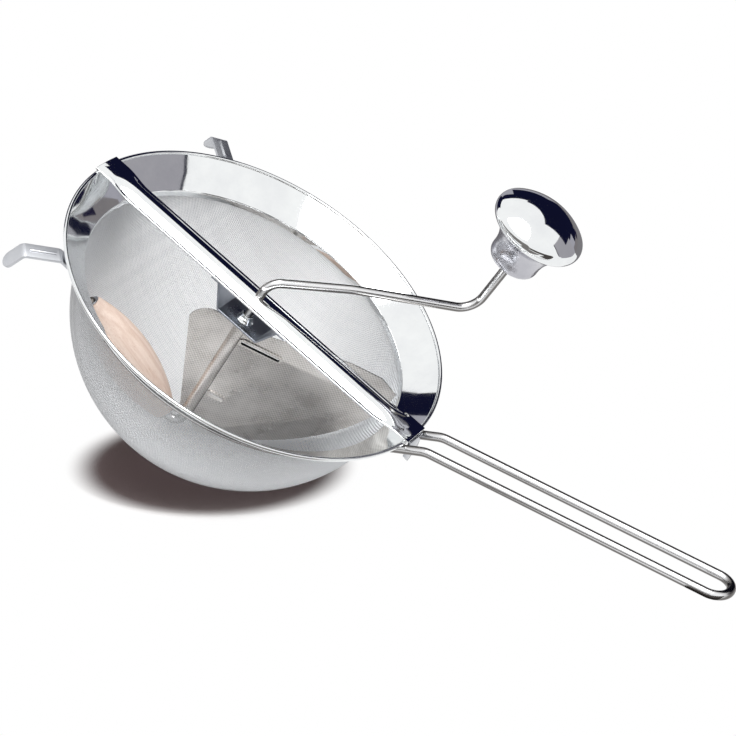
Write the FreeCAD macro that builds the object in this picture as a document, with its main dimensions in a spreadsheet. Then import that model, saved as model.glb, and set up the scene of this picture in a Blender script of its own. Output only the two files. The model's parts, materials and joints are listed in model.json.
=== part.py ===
"""Tomato strainer with a crank: a mesh bowl under a flared rim, a bar across the
mouth, and a bent wire crank that turns a scraper blade and a wooden roller.

Every piece is drawn in the bowl's own frame, in millimetres: Z is the crank's
axis, Z = 0 is the middle of the rolled rim and +X is the way the handle points.
One placement then lays the whole strainer down the way it rests on a table, on
the side of the bowl and on the tip of the handle.
"""
import FreeCAD, Part

import math
import os

import Sketcher

Vector = FreeCAD.Vector
Rotation = FreeCAD.Rotation
Placement = FreeCAD.Placement

AXIS_X, AXIS_Y, AXIS_Z = Vector(1, 0, 0), Vector(0, 1, 0), Vector(0, 0, 1)

# Furthest that two measured lengths may differ and still count as the same
SAME = 0.01

doc = FreeCAD.newDocument("tomato_strainer")

# --------------------------------------------------------------------------
# Driving dimensions, in millimetres and degrees
# --------------------------------------------------------------------------
SIZES = {
    # gaps between welded pieces, between seated pieces and round a running shaft
    "weld_gap": 0.05,
    "seat_gap": 0.1,
    "running_gap": 0.1,
    # length of a cut that goes right through any piece
    "through_cut": 400.0,
    # rim and bowl
    "rim_diameter": 220.0,
    "rim_bead_radius": 1.1,
    "flare_width": 16.2,
    "band_gauge": 0.8,
    "band_depth": 13.5,
    "band_fold": 1.6,
    "skirt_height": 3.0,
    "bowl_drop": 9.5,
    "mesh_gauge": 1.0,
    "mesh_seat_gap": 0.4,
    "mesh_top_gap": 0.2,
    "edge_ring_radius": 0.7,
    # bar across the mouth
    "bar_width": 19.0,
    "bar_gauge": 1.2,
    "bar_lip": 2.2,
    "bar_rise": 3.2,
    "bar_end_rise": 0.4,
    "bar_sink": 2.4,
    "bar_overhang": 0.5,
    "bar_end_length": 9.0,
    "bar_blend_length": 16.0,
    # stirrup under the bar that steadies the shaft, and its bush
    "guide_width": 18.0,
    "guide_gauge": 1.2,
    "guide_depth": 14.3,
    "guide_floor_length": 27.0,
    "guide_mouth_length": 41.0,
    "guide_foot_length": 5.0,
    "guide_bend": 1.6,
    "bush_wall": 1.0,
    "bush_crown_wall": 0.8,
    "bush_head_width": 1.4,
    "bush_head_height": 4.0,
    "bush_head_curve": 6.4,
    "bush_lip_width": 0.5,
    "bush_lip_height": 0.8,
    # crank wire, from the riser under the knob to the roller's axle
    "wire_diameter": 5.0,
    "crank_azimuth": 45.0,
    "crank_start_height": 13.4,
    "crank_kink_reach": 46.0,
    "crank_kink_height": 22.3,
    "crank_reach": 116.4,
    "crank_elbow_height": 28.4,
    "riser_lean": 3.1,
    "knob_height": 37.2,
    "spindle_end": 3.0,
    "foot_bend": 9.0,
    "kink_bend": 60.0,
    "elbow_bend": 12.0,
    "axle_azimuth": 200.0,
    "axle_slope": 32.0,
    "axle_bend": 5.0,
    "axle_bend_gap": 1.5,
    "axle_stub": 1.6,
    # rings on the wire
    "shaft_play": 0.9,
    "washer_gauge": 0.6,
    "washer_width": 2.5,
    "stop_ring_gap": 0.3,
    "stop_ring_height": 1.4,
    "stop_ring_width": 1.2,
    "retainer_play": 0.3,
    "retainer_gauge": 1.0,
    "retainer_width": 3.5,
    "axle_cap_wall": 0.7,
    "axle_cap_shoulder": 0.3,
    "axle_cap_crown": 1.4,
    # scraper blade
    "blade_azimuth": 25.0,
    "blade_gauge": 0.9,
    "blade_clearance": 2.0,
    "blade_shoulder": 10.2,
    "blade_shoulder_start": 62.0,
    "blade_tip_length": 11.3,
    "blade_tip_drop": 16.0,
    "sleeve_rise": 10.94,
    "sleeve_bend_gap": 1.5,
    "sleeve_wall": 0.9,
    "sleeve_lap": 0.2,
    "ear_top": 16.0,
    "ear_reach": 26.5,
    "ear_drop": 29.0,
    "ear_corner": 12.0,
    "ear_foot_rise": 9.0,
    "ear_foot_width": 3.0,
    "fold_slope": 40.25,
    "fold_depth": 18.2,
    "fold_angle": 18.0,
    "fold_inset": 4.0,
    "rib_height": 1.1,
    "rib_width": 5.4,
    "rib_start": 2.0,
    "slot_width": 1.9,
    "upper_rib_drop": 10.8,
    "upper_rib_end": 29.5,
    "lower_rib_rise": 21.0,
    "lower_rib_end": 15.5,
    # wooden roller
    "roller_radius": 13.8,
    "roller_taper": 8.12,
    "roller_gap": 0.5,
    "roller_shaft_gap": 0.63,
    "roller_end_round": 1.8,
    "roller_play": 0.3,
    # knob
    "knob_diameter": 52.8,
    "knob_total_height": 41.3,
    "knob_rim_height": 28.3,
    "knob_rim_round": 5.0,
    "knob_rim_undercut": 60.0,
    "knob_gauge": 0.8,
    "knob_base_radius": 14.3,
    "knob_base_round": 5.0,
    "knob_waist_height": 6.5,
    "knob_seam_inset": 0.3,
    "knob_seam_drop": 0.35,
    "knob_plate_height": 17.0,
    "knob_bush_wall": 1.4,
    "knob_bush_top": 25.0,
    "knob_flange_width": 2.5,
    # handle, its reaches measured out from the rim
    "handle_gauge": 5.0,
    "handle_half_width": 9.5,
    "handle_root_inset": 12.0,
    "handle_bend_out": 10.7,
    "handle_bend_height": 5.1,
    "handle_slope": 18.0,
    "handle_length": 173.2,
    "handle_bend": 16.0,
    "gusset_gauge": 1.5,
    "gusset_top": 0.6,
    "gusset_shoulder": 9.0,
    "gusset_tip": 15.0,
    "gusset_lean": 11.5,
    # hooks that hang the strainer on a pot, their reaches measured from the rim
    "hook_azimuth": 135.0,
    "hook_width": 9.5,
    "hook_gauge": 1.5,
    "hook_root_inset": 10.0,
    "hook_shoulder_out": 1.2,
    "hook_corner_out": 20.7,
    "hook_corner_drop": 3.9,
    "hook_tip_out": 26.8,
    "hook_tip_drop": 15.6,
    "hook_tip_flat": 0.3,
    "hook_bend": 3.0,
    "hook_rib_radius": 0.9,
    "hook_rib_lift": 0.675,
    "hook_rib_inset": 3.0,
}

# Sizes that follow from the driving dimensions, as formulas of the sheet
WORKED = {
    "rim_radius": "Sizes.rim_diameter / 2",
    "bead_reach": "rim_radius - Sizes.rim_bead_radius",
    "bead_root": "sqrt(Sizes.rim_bead_radius ^ 2 - (Sizes.band_gauge / 2) ^ 2)",
    "skirt_middle": "bead_reach - Sizes.flare_width",
    "mesh_inside": "skirt_middle + Sizes.band_gauge / 2 + Sizes.mesh_seat_gap",
    "mesh_top": "Sizes.band_depth + Sizes.mesh_top_gap",
    "bowl_radius": "mesh_inside + Sizes.mesh_gauge",
    "cone_angle": "atan2(Sizes.band_depth; Sizes.flare_width)",
    "fold_setback": "Sizes.band_fold * tan((90deg - cone_angle) / 2)",
    "bar_half_length": "rim_radius + Sizes.bar_overhang",
    "bar_flat_from": "bar_half_length - Sizes.bar_end_length",
    "bar_arch_from": "bar_flat_from - Sizes.bar_blend_length",
    "bar_end_level": "Sizes.rim_bead_radius + Sizes.weld_gap",
    "bar_level": "bar_end_level - Sizes.bar_sink",
    "guide_top": "bar_level - Sizes.guide_gauge / 2 - Sizes.weld_gap",
    "guide_floor": "guide_top - Sizes.guide_depth + Sizes.guide_gauge / 2",
    "wire_radius": "Sizes.wire_diameter / 2",
    "bore_radius": "wire_radius + Sizes.running_gap",
    "bush_neck": "bore_radius + Sizes.bush_wall",
    "washer_radius": "wire_radius + Sizes.washer_width",
    "blade_top": "Sizes.guide_gauge / 2 - guide_floor + Sizes.bush_lip_height"
                 " + Sizes.shaft_play + Sizes.washer_gauge + Sizes.seat_gap",
    "axle_distance": "mesh_inside - Sizes.roller_gap - Sizes.roller_radius",
    "axle_corner": "Sizes.bowl_drop + axle_distance / cos(Sizes.axle_slope * 1deg)",
    # the bend below the sleeve is as tight as drawn, or as wide as keeps it off the mesh
    "axle_turn": "tan((90 + Sizes.axle_slope) / 2 * 1deg)",
    "axle_bend": "max(Sizes.axle_bend; (axle_corner + wire_radius + Sizes.axle_bend_gap"
                 " - Sizes.bowl_drop - mesh_inside) / (axle_turn - 1))",
    "sleeve_radius": "wire_radius + Sizes.weld_gap + Sizes.sleeve_wall",
    "sleeve_bottom": "axle_corner - max(Sizes.sleeve_rise; axle_bend * axle_turn"
                     " + Sizes.sleeve_bend_gap)",
    # the roller is as long as its taper allows, or as its inner end stays clear of the sleeve
    "roller_curve": "mesh_inside - Sizes.roller_gap",
    "roller_middle": "axle_distance * tan(Sizes.axle_slope * 1deg)",
    "roller_room": "2 * axle_distance * sin(Sizes.axle_slope * 1deg)"
                   " - sleeve_radius - Sizes.roller_shaft_gap",
    "roller_room_half": "roller_curve"
                        " * sin(asin(roller_room / roller_curve) - Sizes.axle_slope * 1deg)",
    "roller_taper_half": "sqrt(roller_curve ^ 2 - (roller_curve - Sizes.roller_taper) ^ 2)",
    "roller_half_length": "min(roller_room_half; roller_taper_half)",
    "roller_start": "roller_middle - roller_half_length",
    "roller_stop": "roller_middle + roller_half_length",
    "roller_end_radius": "Sizes.roller_radius - roller_curve"
                         " + sqrt(roller_curve ^ 2 - roller_half_length ^ 2)",
    "axle_end": "roller_stop + Sizes.washer_gauge + Sizes.axle_stub",
    "blade_curve": "mesh_inside - Sizes.blade_clearance",
    "fold_distance": "blade_curve - Sizes.fold_depth",
    "fold_half_length": "sqrt(blade_curve ^ 2 - fold_distance ^ 2)",
    "flap_curve": "sqrt(blade_curve ^ 2 - (fold_distance * sin(Sizes.fold_angle * 1deg)) ^ 2)",
    "flap_centre": "fold_distance * cos(Sizes.fold_angle * 1deg)",
    "fold_middle_x": "fold_distance * sin(Sizes.fold_slope * 1deg)",
    "fold_middle_z": "0 - Sizes.bowl_drop - fold_distance * cos(Sizes.fold_slope * 1deg)",
    "fold_outer_x": "fold_middle_x + fold_half_length * cos(Sizes.fold_slope * 1deg)",
    "fold_outer_z": "fold_middle_z + fold_half_length * sin(Sizes.fold_slope * 1deg)",
    "fold_inner_run": "fold_half_length - Sizes.fold_inset",
    "fold_inner_x": "fold_middle_x - fold_inner_run * cos(Sizes.fold_slope * 1deg)",
    "fold_inner_z": "fold_middle_z - fold_inner_run * sin(Sizes.fold_slope * 1deg)",
    "tip_x": "sqrt(blade_curve ^ 2 - (Sizes.blade_tip_drop - Sizes.bowl_drop) ^ 2)",
    "tip_start": "tip_x - Sizes.blade_tip_length",
    "upper_rib_level": "0 - blade_top - Sizes.upper_rib_drop",
    "lower_rib_level": "Sizes.lower_rib_rise - sleeve_bottom",
    "handle_root": "rim_radius - Sizes.handle_root_inset",
    "handle_bend_reach": "rim_radius + Sizes.handle_bend_out",
    "handle_reach": "rim_radius + Sizes.handle_length",
    "handle_end_height": "Sizes.handle_bend_height + (handle_reach"
                         " - handle_bend_reach) * tan(Sizes.handle_slope * 1deg)",
    "handle_root_height": "(handle_root - skirt_middle) * tan(cone_angle)"
                          " - Sizes.band_depth - (Sizes.handle_gauge / 2"
                          " + Sizes.band_gauge / 2 + Sizes.seat_gap) / cos(cone_angle)",
    "handle_straight": "(handle_reach - handle_bend_reach)"
                       " / cos(Sizes.handle_slope * 1deg)"
                       " - Sizes.handle_half_width",
    "loop_centre_x": "handle_bend_reach + handle_straight"
                     " * cos(Sizes.handle_slope * 1deg)",
    "loop_centre_z": "Sizes.handle_bend_height + handle_straight"
                     " * sin(Sizes.handle_slope * 1deg)",
    "hook_root": "rim_radius - Sizes.hook_root_inset",
    "hook_root_height": "(hook_root - skirt_middle) * tan(cone_angle)"
                        " - Sizes.band_depth - (Sizes.hook_gauge / 2"
                        " + Sizes.band_gauge / 2 + Sizes.seat_gap) / cos(cone_angle)",
    "hook_shoulder": "rim_radius + Sizes.hook_shoulder_out",
    "hook_shoulder_height": "0 - Sizes.rim_bead_radius - Sizes.hook_gauge / 2"
                            " - Sizes.weld_gap",
    "hook_corner_reach": "rim_radius + Sizes.hook_corner_out",
    "hook_tip_reach": "rim_radius + Sizes.hook_tip_out",
    "hook_fall": "(hook_shoulder_height + Sizes.hook_corner_drop)"
                 " / (hook_corner_reach - hook_shoulder)",
    "hook_rib_start": "hook_shoulder + Sizes.hook_rib_inset",
    "hook_rib_stop": "hook_corner_reach - Sizes.hook_rib_inset",
    "hook_rib_start_height": "hook_shoulder_height - (hook_rib_start - hook_shoulder)"
                             " * hook_fall + Sizes.hook_rib_lift",
    "hook_rib_stop_height": "hook_shoulder_height - (hook_rib_stop - hook_shoulder)"
                            " * hook_fall + Sizes.hook_rib_lift",
    "riser_foot": "Sizes.crank_reach + Sizes.knob_height * tan(Sizes.riser_lean * 1deg)",
    "knob_bush_radius": "bore_radius + Sizes.knob_bush_wall",
    "knob_hole_radius": "knob_bush_radius + Sizes.weld_gap",
    "rim_round_reach": "Sizes.knob_diameter / 2 - Sizes.knob_rim_round",
    "dome_centre": "(Sizes.knob_total_height ^ 2 - 2 * Sizes.knob_total_height"
                   " * Sizes.knob_rim_round + Sizes.knob_rim_round ^ 2"
                   " - rim_round_reach ^ 2 - Sizes.knob_rim_height ^ 2)"
                   " / (2 * (Sizes.knob_total_height - Sizes.knob_rim_round"
                   " - Sizes.knob_rim_height))",
    "dome_radius": "Sizes.knob_total_height - dome_centre",
    "dome_share": "dome_radius / (dome_radius - Sizes.knob_rim_round)",
    "flare_reach": "rim_round_reach + Sizes.knob_rim_round"
                   " * cos(Sizes.knob_rim_undercut * 1deg) - Sizes.knob_seam_inset",
    "flare_height": "Sizes.knob_rim_height - Sizes.knob_rim_round"
                    " * sin(Sizes.knob_rim_undercut * 1deg) - Sizes.knob_seam_drop",
    "flare_run": "flare_reach - Sizes.knob_base_radius",
    "flare_curve": "(flare_run ^ 2 + (flare_height - Sizes.knob_waist_height) ^ 2)"
                   " / (2 * flare_run)",
    "flare_share": "(flare_curve + Sizes.knob_gauge) / flare_curve",
}


def add_sheet(name, cells, formula):
    """Adds a sheet with one named cell for each size or formula."""
    sheet = doc.addObject("Spreadsheet::Sheet", name)
    for row, (alias, content) in enumerate(cells.items(), start=1):
        sheet.set(f"A{row}", alias)
        sheet.set(f"B{row}", f"={content}" if formula else str(content))
        sheet.setAlias(f"B{row}", alias)
    return sheet


sizes = add_sheet("Sizes", SIZES, formula=False)
worked = add_sheet("Worked", WORKED, formula=True)
doc.recompute()


def number(expression):
    """Value that an expression of the two sheets gives now."""
    result = sizes.evalExpression(str(expression))
    return float(getattr(result, "Value", result))


def size(alias):
    """Value of one driving dimension."""
    return number(f"Sizes.{alias}")


def derived(alias):
    """Value of one worked size."""
    return number(f"Worked.{alias}")


# --------------------------------------------------------------------------
# Drawing helpers
# --------------------------------------------------------------------------
def add_body(name):
    """Adds an empty body whose label is its node's name."""
    body = doc.addObject("PartDesign::Body", name)
    body.Label = name
    return body


def origin_plane(body, role):
    """One of the body's own origin planes, such as XY_Plane."""
    return [f for f in body.Origin.OriginFeatures if f.Role == role][0]


def add_sketch(body, name, plane, offset=Placement()):
    """Adds a sketch on one of the body's own origin planes."""
    sketch = body.newObject("Sketcher::SketchObject", f"{body.Name}_{name}")
    sketch.AttachmentSupport = [(origin_plane(body, plane), "")]
    sketch.MapMode = "FlatFace"
    sketch.AttachmentOffset = offset
    return sketch


def bind(sketch, constraint, name, expression):
    """Adds a constraint and ties its value to an expression."""
    index = sketch.addConstraint(constraint)
    sketch.renameConstraint(index, name)
    sketch.setExpression(f"Constraints.{name}", str(expression))


def pin_point(sketch, geometry, end, name, corner):
    """Holds one end of a curve at the place that two expressions give."""
    across, up = corner
    if across == 0:
        sketch.addConstraint(Sketcher.Constraint("PointOnObject", geometry, end, -2))
    else:
        value = Sketcher.Constraint("DistanceX", -1, 1, geometry, end, number(across))
        bind(sketch, value, f"{name}_across", across)
    if up == 0:
        sketch.addConstraint(Sketcher.Constraint("PointOnObject", geometry, end, -1))
    else:
        value = Sketcher.Constraint("DistanceY", -1, 1, geometry, end, number(up))
        bind(sketch, value, f"{name}_up", up)


def arc_between(start, end, radius, turn):
    """Arc of a radius from start to end: turn is 1 for left, -1 for right."""
    half = (end - start) / 2
    height = math.sqrt(max(radius * radius - half.Length ** 2, 0.0))
    side = Vector(-half.y, half.x, 0).normalize() * (height * turn)
    centre = start + half + side
    first, last = (start, end) if turn > 0 else (end, start)
    angles = [math.atan2(p.y - centre.y, p.x - centre.x) for p in (first, last)]
    if angles[1] <= angles[0]:
        angles[1] += 2 * math.pi
    return Part.ArcOfCircle(Part.Circle(centre, AXIS_Z, radius), *angles)


def draw_outline(sketch, corners, arcs=None, closed=True):
    """Draws sides through corners given as pairs of expressions.

    arcs maps the number of a side to its radius and turn; the other sides are
    straight.
    """
    arcs = arcs or {}
    places = [Vector(number(x), number(y), 0) for x, y in corners]
    count = len(corners) if closed else len(corners) - 1
    ends = []
    for side in range(count):
        start, end = places[side], places[(side + 1) % len(places)]
        if side in arcs:
            radius, turn = arcs[side]
            index = sketch.addGeometry(arc_between(start, end, number(radius), turn), False)
            ends.append((index, 1, 2) if turn > 0 else (index, 2, 1))
        else:
            index = sketch.addGeometry(Part.LineSegment(start, end), False)
            ends.append((index, 1, 2))
    for side in range(count if closed else count - 1):
        here, following = ends[side], ends[(side + 1) % count]
        sketch.addConstraint(Sketcher.Constraint(
            "Coincident", here[0], here[2], following[0], following[1]))
    for side in range(count):
        pin_point(sketch, ends[side][0], ends[side][1], f"corner{side}", corners[side])
    if not closed:
        pin_point(sketch, ends[-1][0], ends[-1][2], f"corner{count}", corners[-1])
    for side, (radius, _turn) in arcs.items():
        value = Sketcher.Constraint("Radius", ends[side][0], number(radius))
        bind(sketch, value, f"radius{side}", radius)
    return sketch


def draw_route(sketch, corners, bends):
    """Draws straight runs through corners with a tangent arc at each inner one."""
    places = [Vector(number(x), number(y), 0) for x, y in corners]
    radii = [number(bend) for bend in bends]
    starts, arcs, stops = [places[0]], [], []
    for before, corner, after, radius in zip(places, places[1:], places[2:], radii):
        back, ahead = (before - corner).normalize(), (after - corner).normalize()
        reach = radius / math.tan(back.getAngle(ahead) / 2)
        stops.append(corner + back * reach)
        starts.append(corner + ahead * reach)
        turn = 1 if back.cross(ahead).z < 0 else -1
        arcs.append((stops[-1], starts[-1], radius, turn))
    stops.append(places[-1])
    runs = [sketch.addGeometry(Part.LineSegment(a, b), False) for a, b in zip(starts, stops)]
    pin_point(sketch, runs[0], 1, "start", corners[0])
    pin_point(sketch, runs[-1], 2, "stop", corners[-1])
    for place, (start, end, radius, turn) in enumerate(arcs):
        arc = sketch.addGeometry(arc_between(start, end, radius, turn), False)
        first, last = (1, 2) if turn > 0 else (2, 1)
        mark = sketch.addGeometry(Part.Point(places[place + 1]), True)
        for constraint in (
            Sketcher.Constraint("Tangent", runs[place], 2, arc, first),
            Sketcher.Constraint("Tangent", arc, last, runs[place + 1], 1),
            Sketcher.Constraint("PointOnObject", mark, 1, runs[place]),
            Sketcher.Constraint("PointOnObject", mark, 1, runs[place + 1]),
        ):
            sketch.addConstraint(constraint)
        pin_point(sketch, mark, 1, f"bend{place}", corners[place + 1])
        bind(sketch, Sketcher.Constraint("Radius", arc, radius), f"round{place}", bends[place])
    return sketch


def draw_circle(sketch, centre, radius, name="circle"):
    """Draws a circle about a centre given as a pair of expressions."""
    place = Vector(number(centre[0]), number(centre[1]), 0)
    index = sketch.addGeometry(Part.Circle(place, AXIS_Z, number(radius)), False)
    pin_point(sketch, index, 3, name, centre)
    bind(sketch, Sketcher.Constraint("Radius", index, number(radius)), f"{name}_radius", radius)
    return sketch


# Radius of a slot's end as a share of its width: half is a full half circle
SLOT_END = 0.51


def draw_slot(sketch, start, stop, level, width):
    """Draws a slot between two places on one level, its ends just under half round."""
    half, end = f"({width}) / 2", f"({width}) * {SLOT_END}"
    corners = [(start, f"({level}) - {half}"), (stop, f"({level}) - {half}"),
               (stop, f"({level}) + {half}"), (start, f"({level}) + {half}")]
    return draw_outline(sketch, corners, {1: (end, 1), 3: (end, 1)})


def revolve(body, sketch, angle=360):
    """Turns a sketch about its own upright axis."""
    feature = body.newObject("PartDesign::Revolution", f"{sketch.Name}_turned")
    feature.Profile = sketch
    feature.ReferenceAxis = (sketch, ["V_Axis"])
    feature.Angle = angle
    return feature


def pad(body, sketch, length, both_ways=True, reverse=False):
    """Thickens a sketch, to both sides of its plane or to one."""
    feature = body.newObject("PartDesign::Pad", f"{sketch.Name}_pad")
    feature.Profile = sketch
    feature.setExpression("Length", str(length))
    feature.SideType = "Symmetric" if both_ways else "One side"
    feature.Reversed = reverse
    return feature


def cut_through(body, sketch):
    """Cuts a sketch right through the body, to both sides of its plane."""
    doc.recompute()
    before = body.Shape.Volume
    feature = body.newObject("PartDesign::Pocket", f"{sketch.Name}_cut")
    feature.Profile = sketch
    feature.setExpression("Length", "Sizes.through_cut")
    feature.SideType = "Symmetric"
    doc.recompute()
    if not body.Shape.Volume < before:
        raise RuntimeError(f"{feature.Name} cuts nothing")
    return feature


def sweep(body, profile, route):
    """Carries a section along a route."""
    feature = body.newObject("PartDesign::AdditivePipe", f"{route.Name}_pipe")
    feature.Profile = profile
    feature.Spine = (route, [])
    return feature


def round_over(body, edges, radius):
    """Rounds edges of the body's latest feature."""
    latest = body.Tip
    feature = body.newObject("PartDesign::Fillet", f"{body.Name}_round")
    feature.Base = (latest, edges)
    feature.setExpression("Radius", str(radius))
    body.Tip = feature
    return feature


def turned_about_z(azimuth):
    """Offset that swings a sketch on the XZ plane round to an azimuth."""
    return Placement(Vector(), Rotation(AXIS_Y, azimuth))


def carried(place):
    """Offset that carries a sketch on the YZ plane to a place in the body's frame."""
    plane = Placement(Vector(), Rotation(Vector(1, 1, 1), 120))
    return plane.inverse().multiply(place).multiply(plane)


# --------------------------------------------------------------------------
# How the strainer lies: bowl and handle tip both on the table
# --------------------------------------------------------------------------
def resting_tilt():
    """Angle in degrees by which the crank's axis leans towards the handle."""
    reach, height = derived("handle_reach"), derived("handle_end_height")
    rise = height + size("bowl_drop")
    distance = math.hypot(reach, rise)
    drop = derived("bowl_radius") - size("handle_gauge") / 2
    return math.degrees(math.atan2(rise, reach) + math.asin(drop / distance))


def resting_placement():
    """Placement from the bowl's frame to the table.

    The lowest points are at Z = 0, and X = 0 is halfway between the back of the
    bowl and the tip of the handle.
    """
    tilt = Rotation(AXIS_Y, resting_tilt())
    bowl_centre = tilt.multVec(Vector(0, 0, -size("bowl_drop")))
    tip_centre = tilt.multVec(Vector(derived("handle_reach"), 0, derived("handle_end_height")))
    back = bowl_centre.x - derived("bowl_radius")
    front = tip_centre.x + size("handle_gauge") / 2
    shift = Vector(-(back + front) / 2, 0, derived("bowl_radius") - bowl_centre.z)
    return Placement(shift, tilt)


def knob_placement():
    """Placement of the knob's own frame, Z up the riser, in the bowl's frame."""
    azimuth, lean = size("crank_azimuth"), size("riser_lean")
    reach = derived("riser_foot")
    height = size("crank_elbow_height") + size("knob_height")
    turn = Rotation(AXIS_Z, azimuth).multiply(Rotation(AXIS_Y, lean))
    place = Rotation(AXIS_Z, azimuth).multVec(Vector(reach, 0, height))
    return Placement(place, turn)


def axle_placement():
    """Placement of the axle's own frame, Z out along the axle from its corner."""
    turn = Rotation(AXIS_Z, size("axle_azimuth")).multiply(
        Rotation(AXIS_Y, 90 - size("axle_slope")))
    return Placement(Vector(0, 0, -derived("axle_corner")), turn)


REST = resting_placement()
UPRIGHT = Placement()
KNOB = knob_placement()
AXLE = axle_placement()


def settle(body, inner=UPRIGHT):
    """Puts a finished body in its place on the table."""
    body.Placement = REST.multiply(inner)
    return body


# --------------------------------------------------------------------------
# Bowl and rim
# --------------------------------------------------------------------------
def make_mesh_bowl():
    """Round bowl of woven wire, as a thin shell of its true outer shape."""
    body = add_body("mesh_bowl")
    outer, inner = "Worked.bowl_radius", "Worked.mesh_inside"
    lift = "(Worked.mesh_top - Sizes.bowl_drop)"
    corners = [
        (0, f"0 - Sizes.bowl_drop - {outer}"),
        (f"sqrt({outer} ^ 2 - {lift} ^ 2)", "0 - Worked.mesh_top"),
        (f"sqrt({inner} ^ 2 - {lift} ^ 2)", "0 - Worked.mesh_top"),
        (0, f"0 - Sizes.bowl_drop - {inner}"),
    ]
    sketch = add_sketch(body, "wall", "XZ_Plane")
    draw_outline(sketch, corners, {0: (outer, 1), 2: (inner, -1)})
    revolve(body, sketch)
    return settle(body)


def make_mesh_edge_ring():
    """Wire ring that binds the cut edge of the mesh, under the flare."""
    body = add_body("mesh_edge_ring")
    sketch = add_sketch(body, "section", "XZ_Plane")
    centre = ("Worked.bowl_radius + Sizes.edge_ring_radius + Sizes.seat_gap",
              "0 - Worked.mesh_top - Sizes.edge_ring_radius")
    draw_circle(sketch, centre, "Sizes.edge_ring_radius")
    revolve(body, sketch)
    return settle(body)


def make_rim_band():
    """Flared polished band: skirt inside the mesh, cone, and rolled outer edge."""
    body = add_body("rim_band")
    half = "Sizes.band_gauge / 2"
    root_x = "(Worked.bead_reach - Worked.bead_root * cos(Worked.cone_angle))"
    root_z = "(0 - Worked.bead_root * sin(Worked.cone_angle))"
    shift_x = f"{half} * sin(Worked.cone_angle)"
    shift_z = f"{half} * cos(Worked.cone_angle)"
    foot = "0 - Sizes.band_depth - Sizes.skirt_height"
    fold_foot = "0 - Sizes.band_depth - Worked.fold_setback"
    fold_x = "(Worked.skirt_middle + Worked.fold_setback * cos(Worked.cone_angle))"
    fold_z = "(Worked.fold_setback * sin(Worked.cone_angle) - Sizes.band_depth)"
    corners = [
        (f"Worked.skirt_middle - {half}", foot), (f"Worked.skirt_middle + {half}", foot),
        (f"Worked.skirt_middle + {half}", fold_foot),
        (f"{fold_x} + {shift_x}", f"{fold_z} - {shift_z}"),
        (f"{root_x} + {shift_x}", f"{root_z} - {shift_z}"),
        (f"{root_x} - {shift_x}", f"{root_z} + {shift_z}"),
        (f"{fold_x} - {shift_x}", f"{fold_z} + {shift_z}"),
        (f"Worked.skirt_middle - {half}", fold_foot),
    ]
    sketch = add_sketch(body, "section", "XZ_Plane")
    draw_outline(sketch, corners, {2: (f"Sizes.band_fold - {half}", -1),
                                   6: (f"Sizes.band_fold + {half}", 1)})
    revolve(body, sketch)
    bead = add_sketch(body, "bead", "XZ_Plane")
    draw_circle(bead, ("Worked.bead_reach", 0), "Sizes.rim_bead_radius")
    revolve(body, bead)
    return settle(body)


# --------------------------------------------------------------------------
# Bar across the mouth and the stirrup that steadies the shaft
# --------------------------------------------------------------------------
def bar_section(body, name, along, level, rise):
    """Gutter section of the bar at one place along it: arch between two lips."""
    edge, root = "Sizes.bar_width / 2", "(Sizes.bar_width / 2 - Sizes.bar_lip)"
    under = f"({root} ^ 2 + ({rise}) ^ 2) / (2 * ({rise}))"
    level_top = f"{level} + Sizes.bar_gauge"
    corners = [
        (f"0 - {edge}", level), (f"0 - {root}", level), (root, level), (edge, level),
        (edge, level_top), (root, level_top), (f"0 - {root}", level_top),
        (f"0 - {edge}", level_top),
    ]
    offset = Placement(Vector(0, 0, number(along)), Rotation())
    sketch = add_sketch(body, name, "YZ_Plane", offset)
    draw_outline(sketch, corners, {1: (under, -1), 5: (under, 1)})
    sketch.setExpression("AttachmentOffset.Base.z", str(along))
    return sketch


def make_cross_bar():
    """Polished gutter strip: arched along its length, pressed flat at its ends."""
    body = add_body("cross_bar")
    arch = ("Worked.bar_level", "Sizes.bar_rise")
    flat = ("Worked.bar_end_level", "Sizes.bar_end_rise")
    stations = [
        ("near_end", "0 - Worked.bar_half_length", flat),
        ("near_flat", "0 - Worked.bar_flat_from", flat),
        ("near_arch", "0 - Worked.bar_arch_from", arch),
        ("far_arch", "Worked.bar_arch_from", arch),
        ("far_flat", "Worked.bar_flat_from", flat),
        ("far_end", "Worked.bar_half_length", flat),
    ]
    sections = [bar_section(body, name, along, *shape) for name, along, shape in stations]
    loft = body.newObject("PartDesign::AdditiveLoft", "cross_bar_loft")
    loft.Profile = sections[0]
    loft.Sections = sections[1:]
    loft.Ruled = True
    hole = add_sketch(body, "shaft_hole", "XY_Plane")
    draw_circle(hole, (0, 0), "Worked.bore_radius")
    cut_through(body, hole)
    return settle(body)


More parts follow.
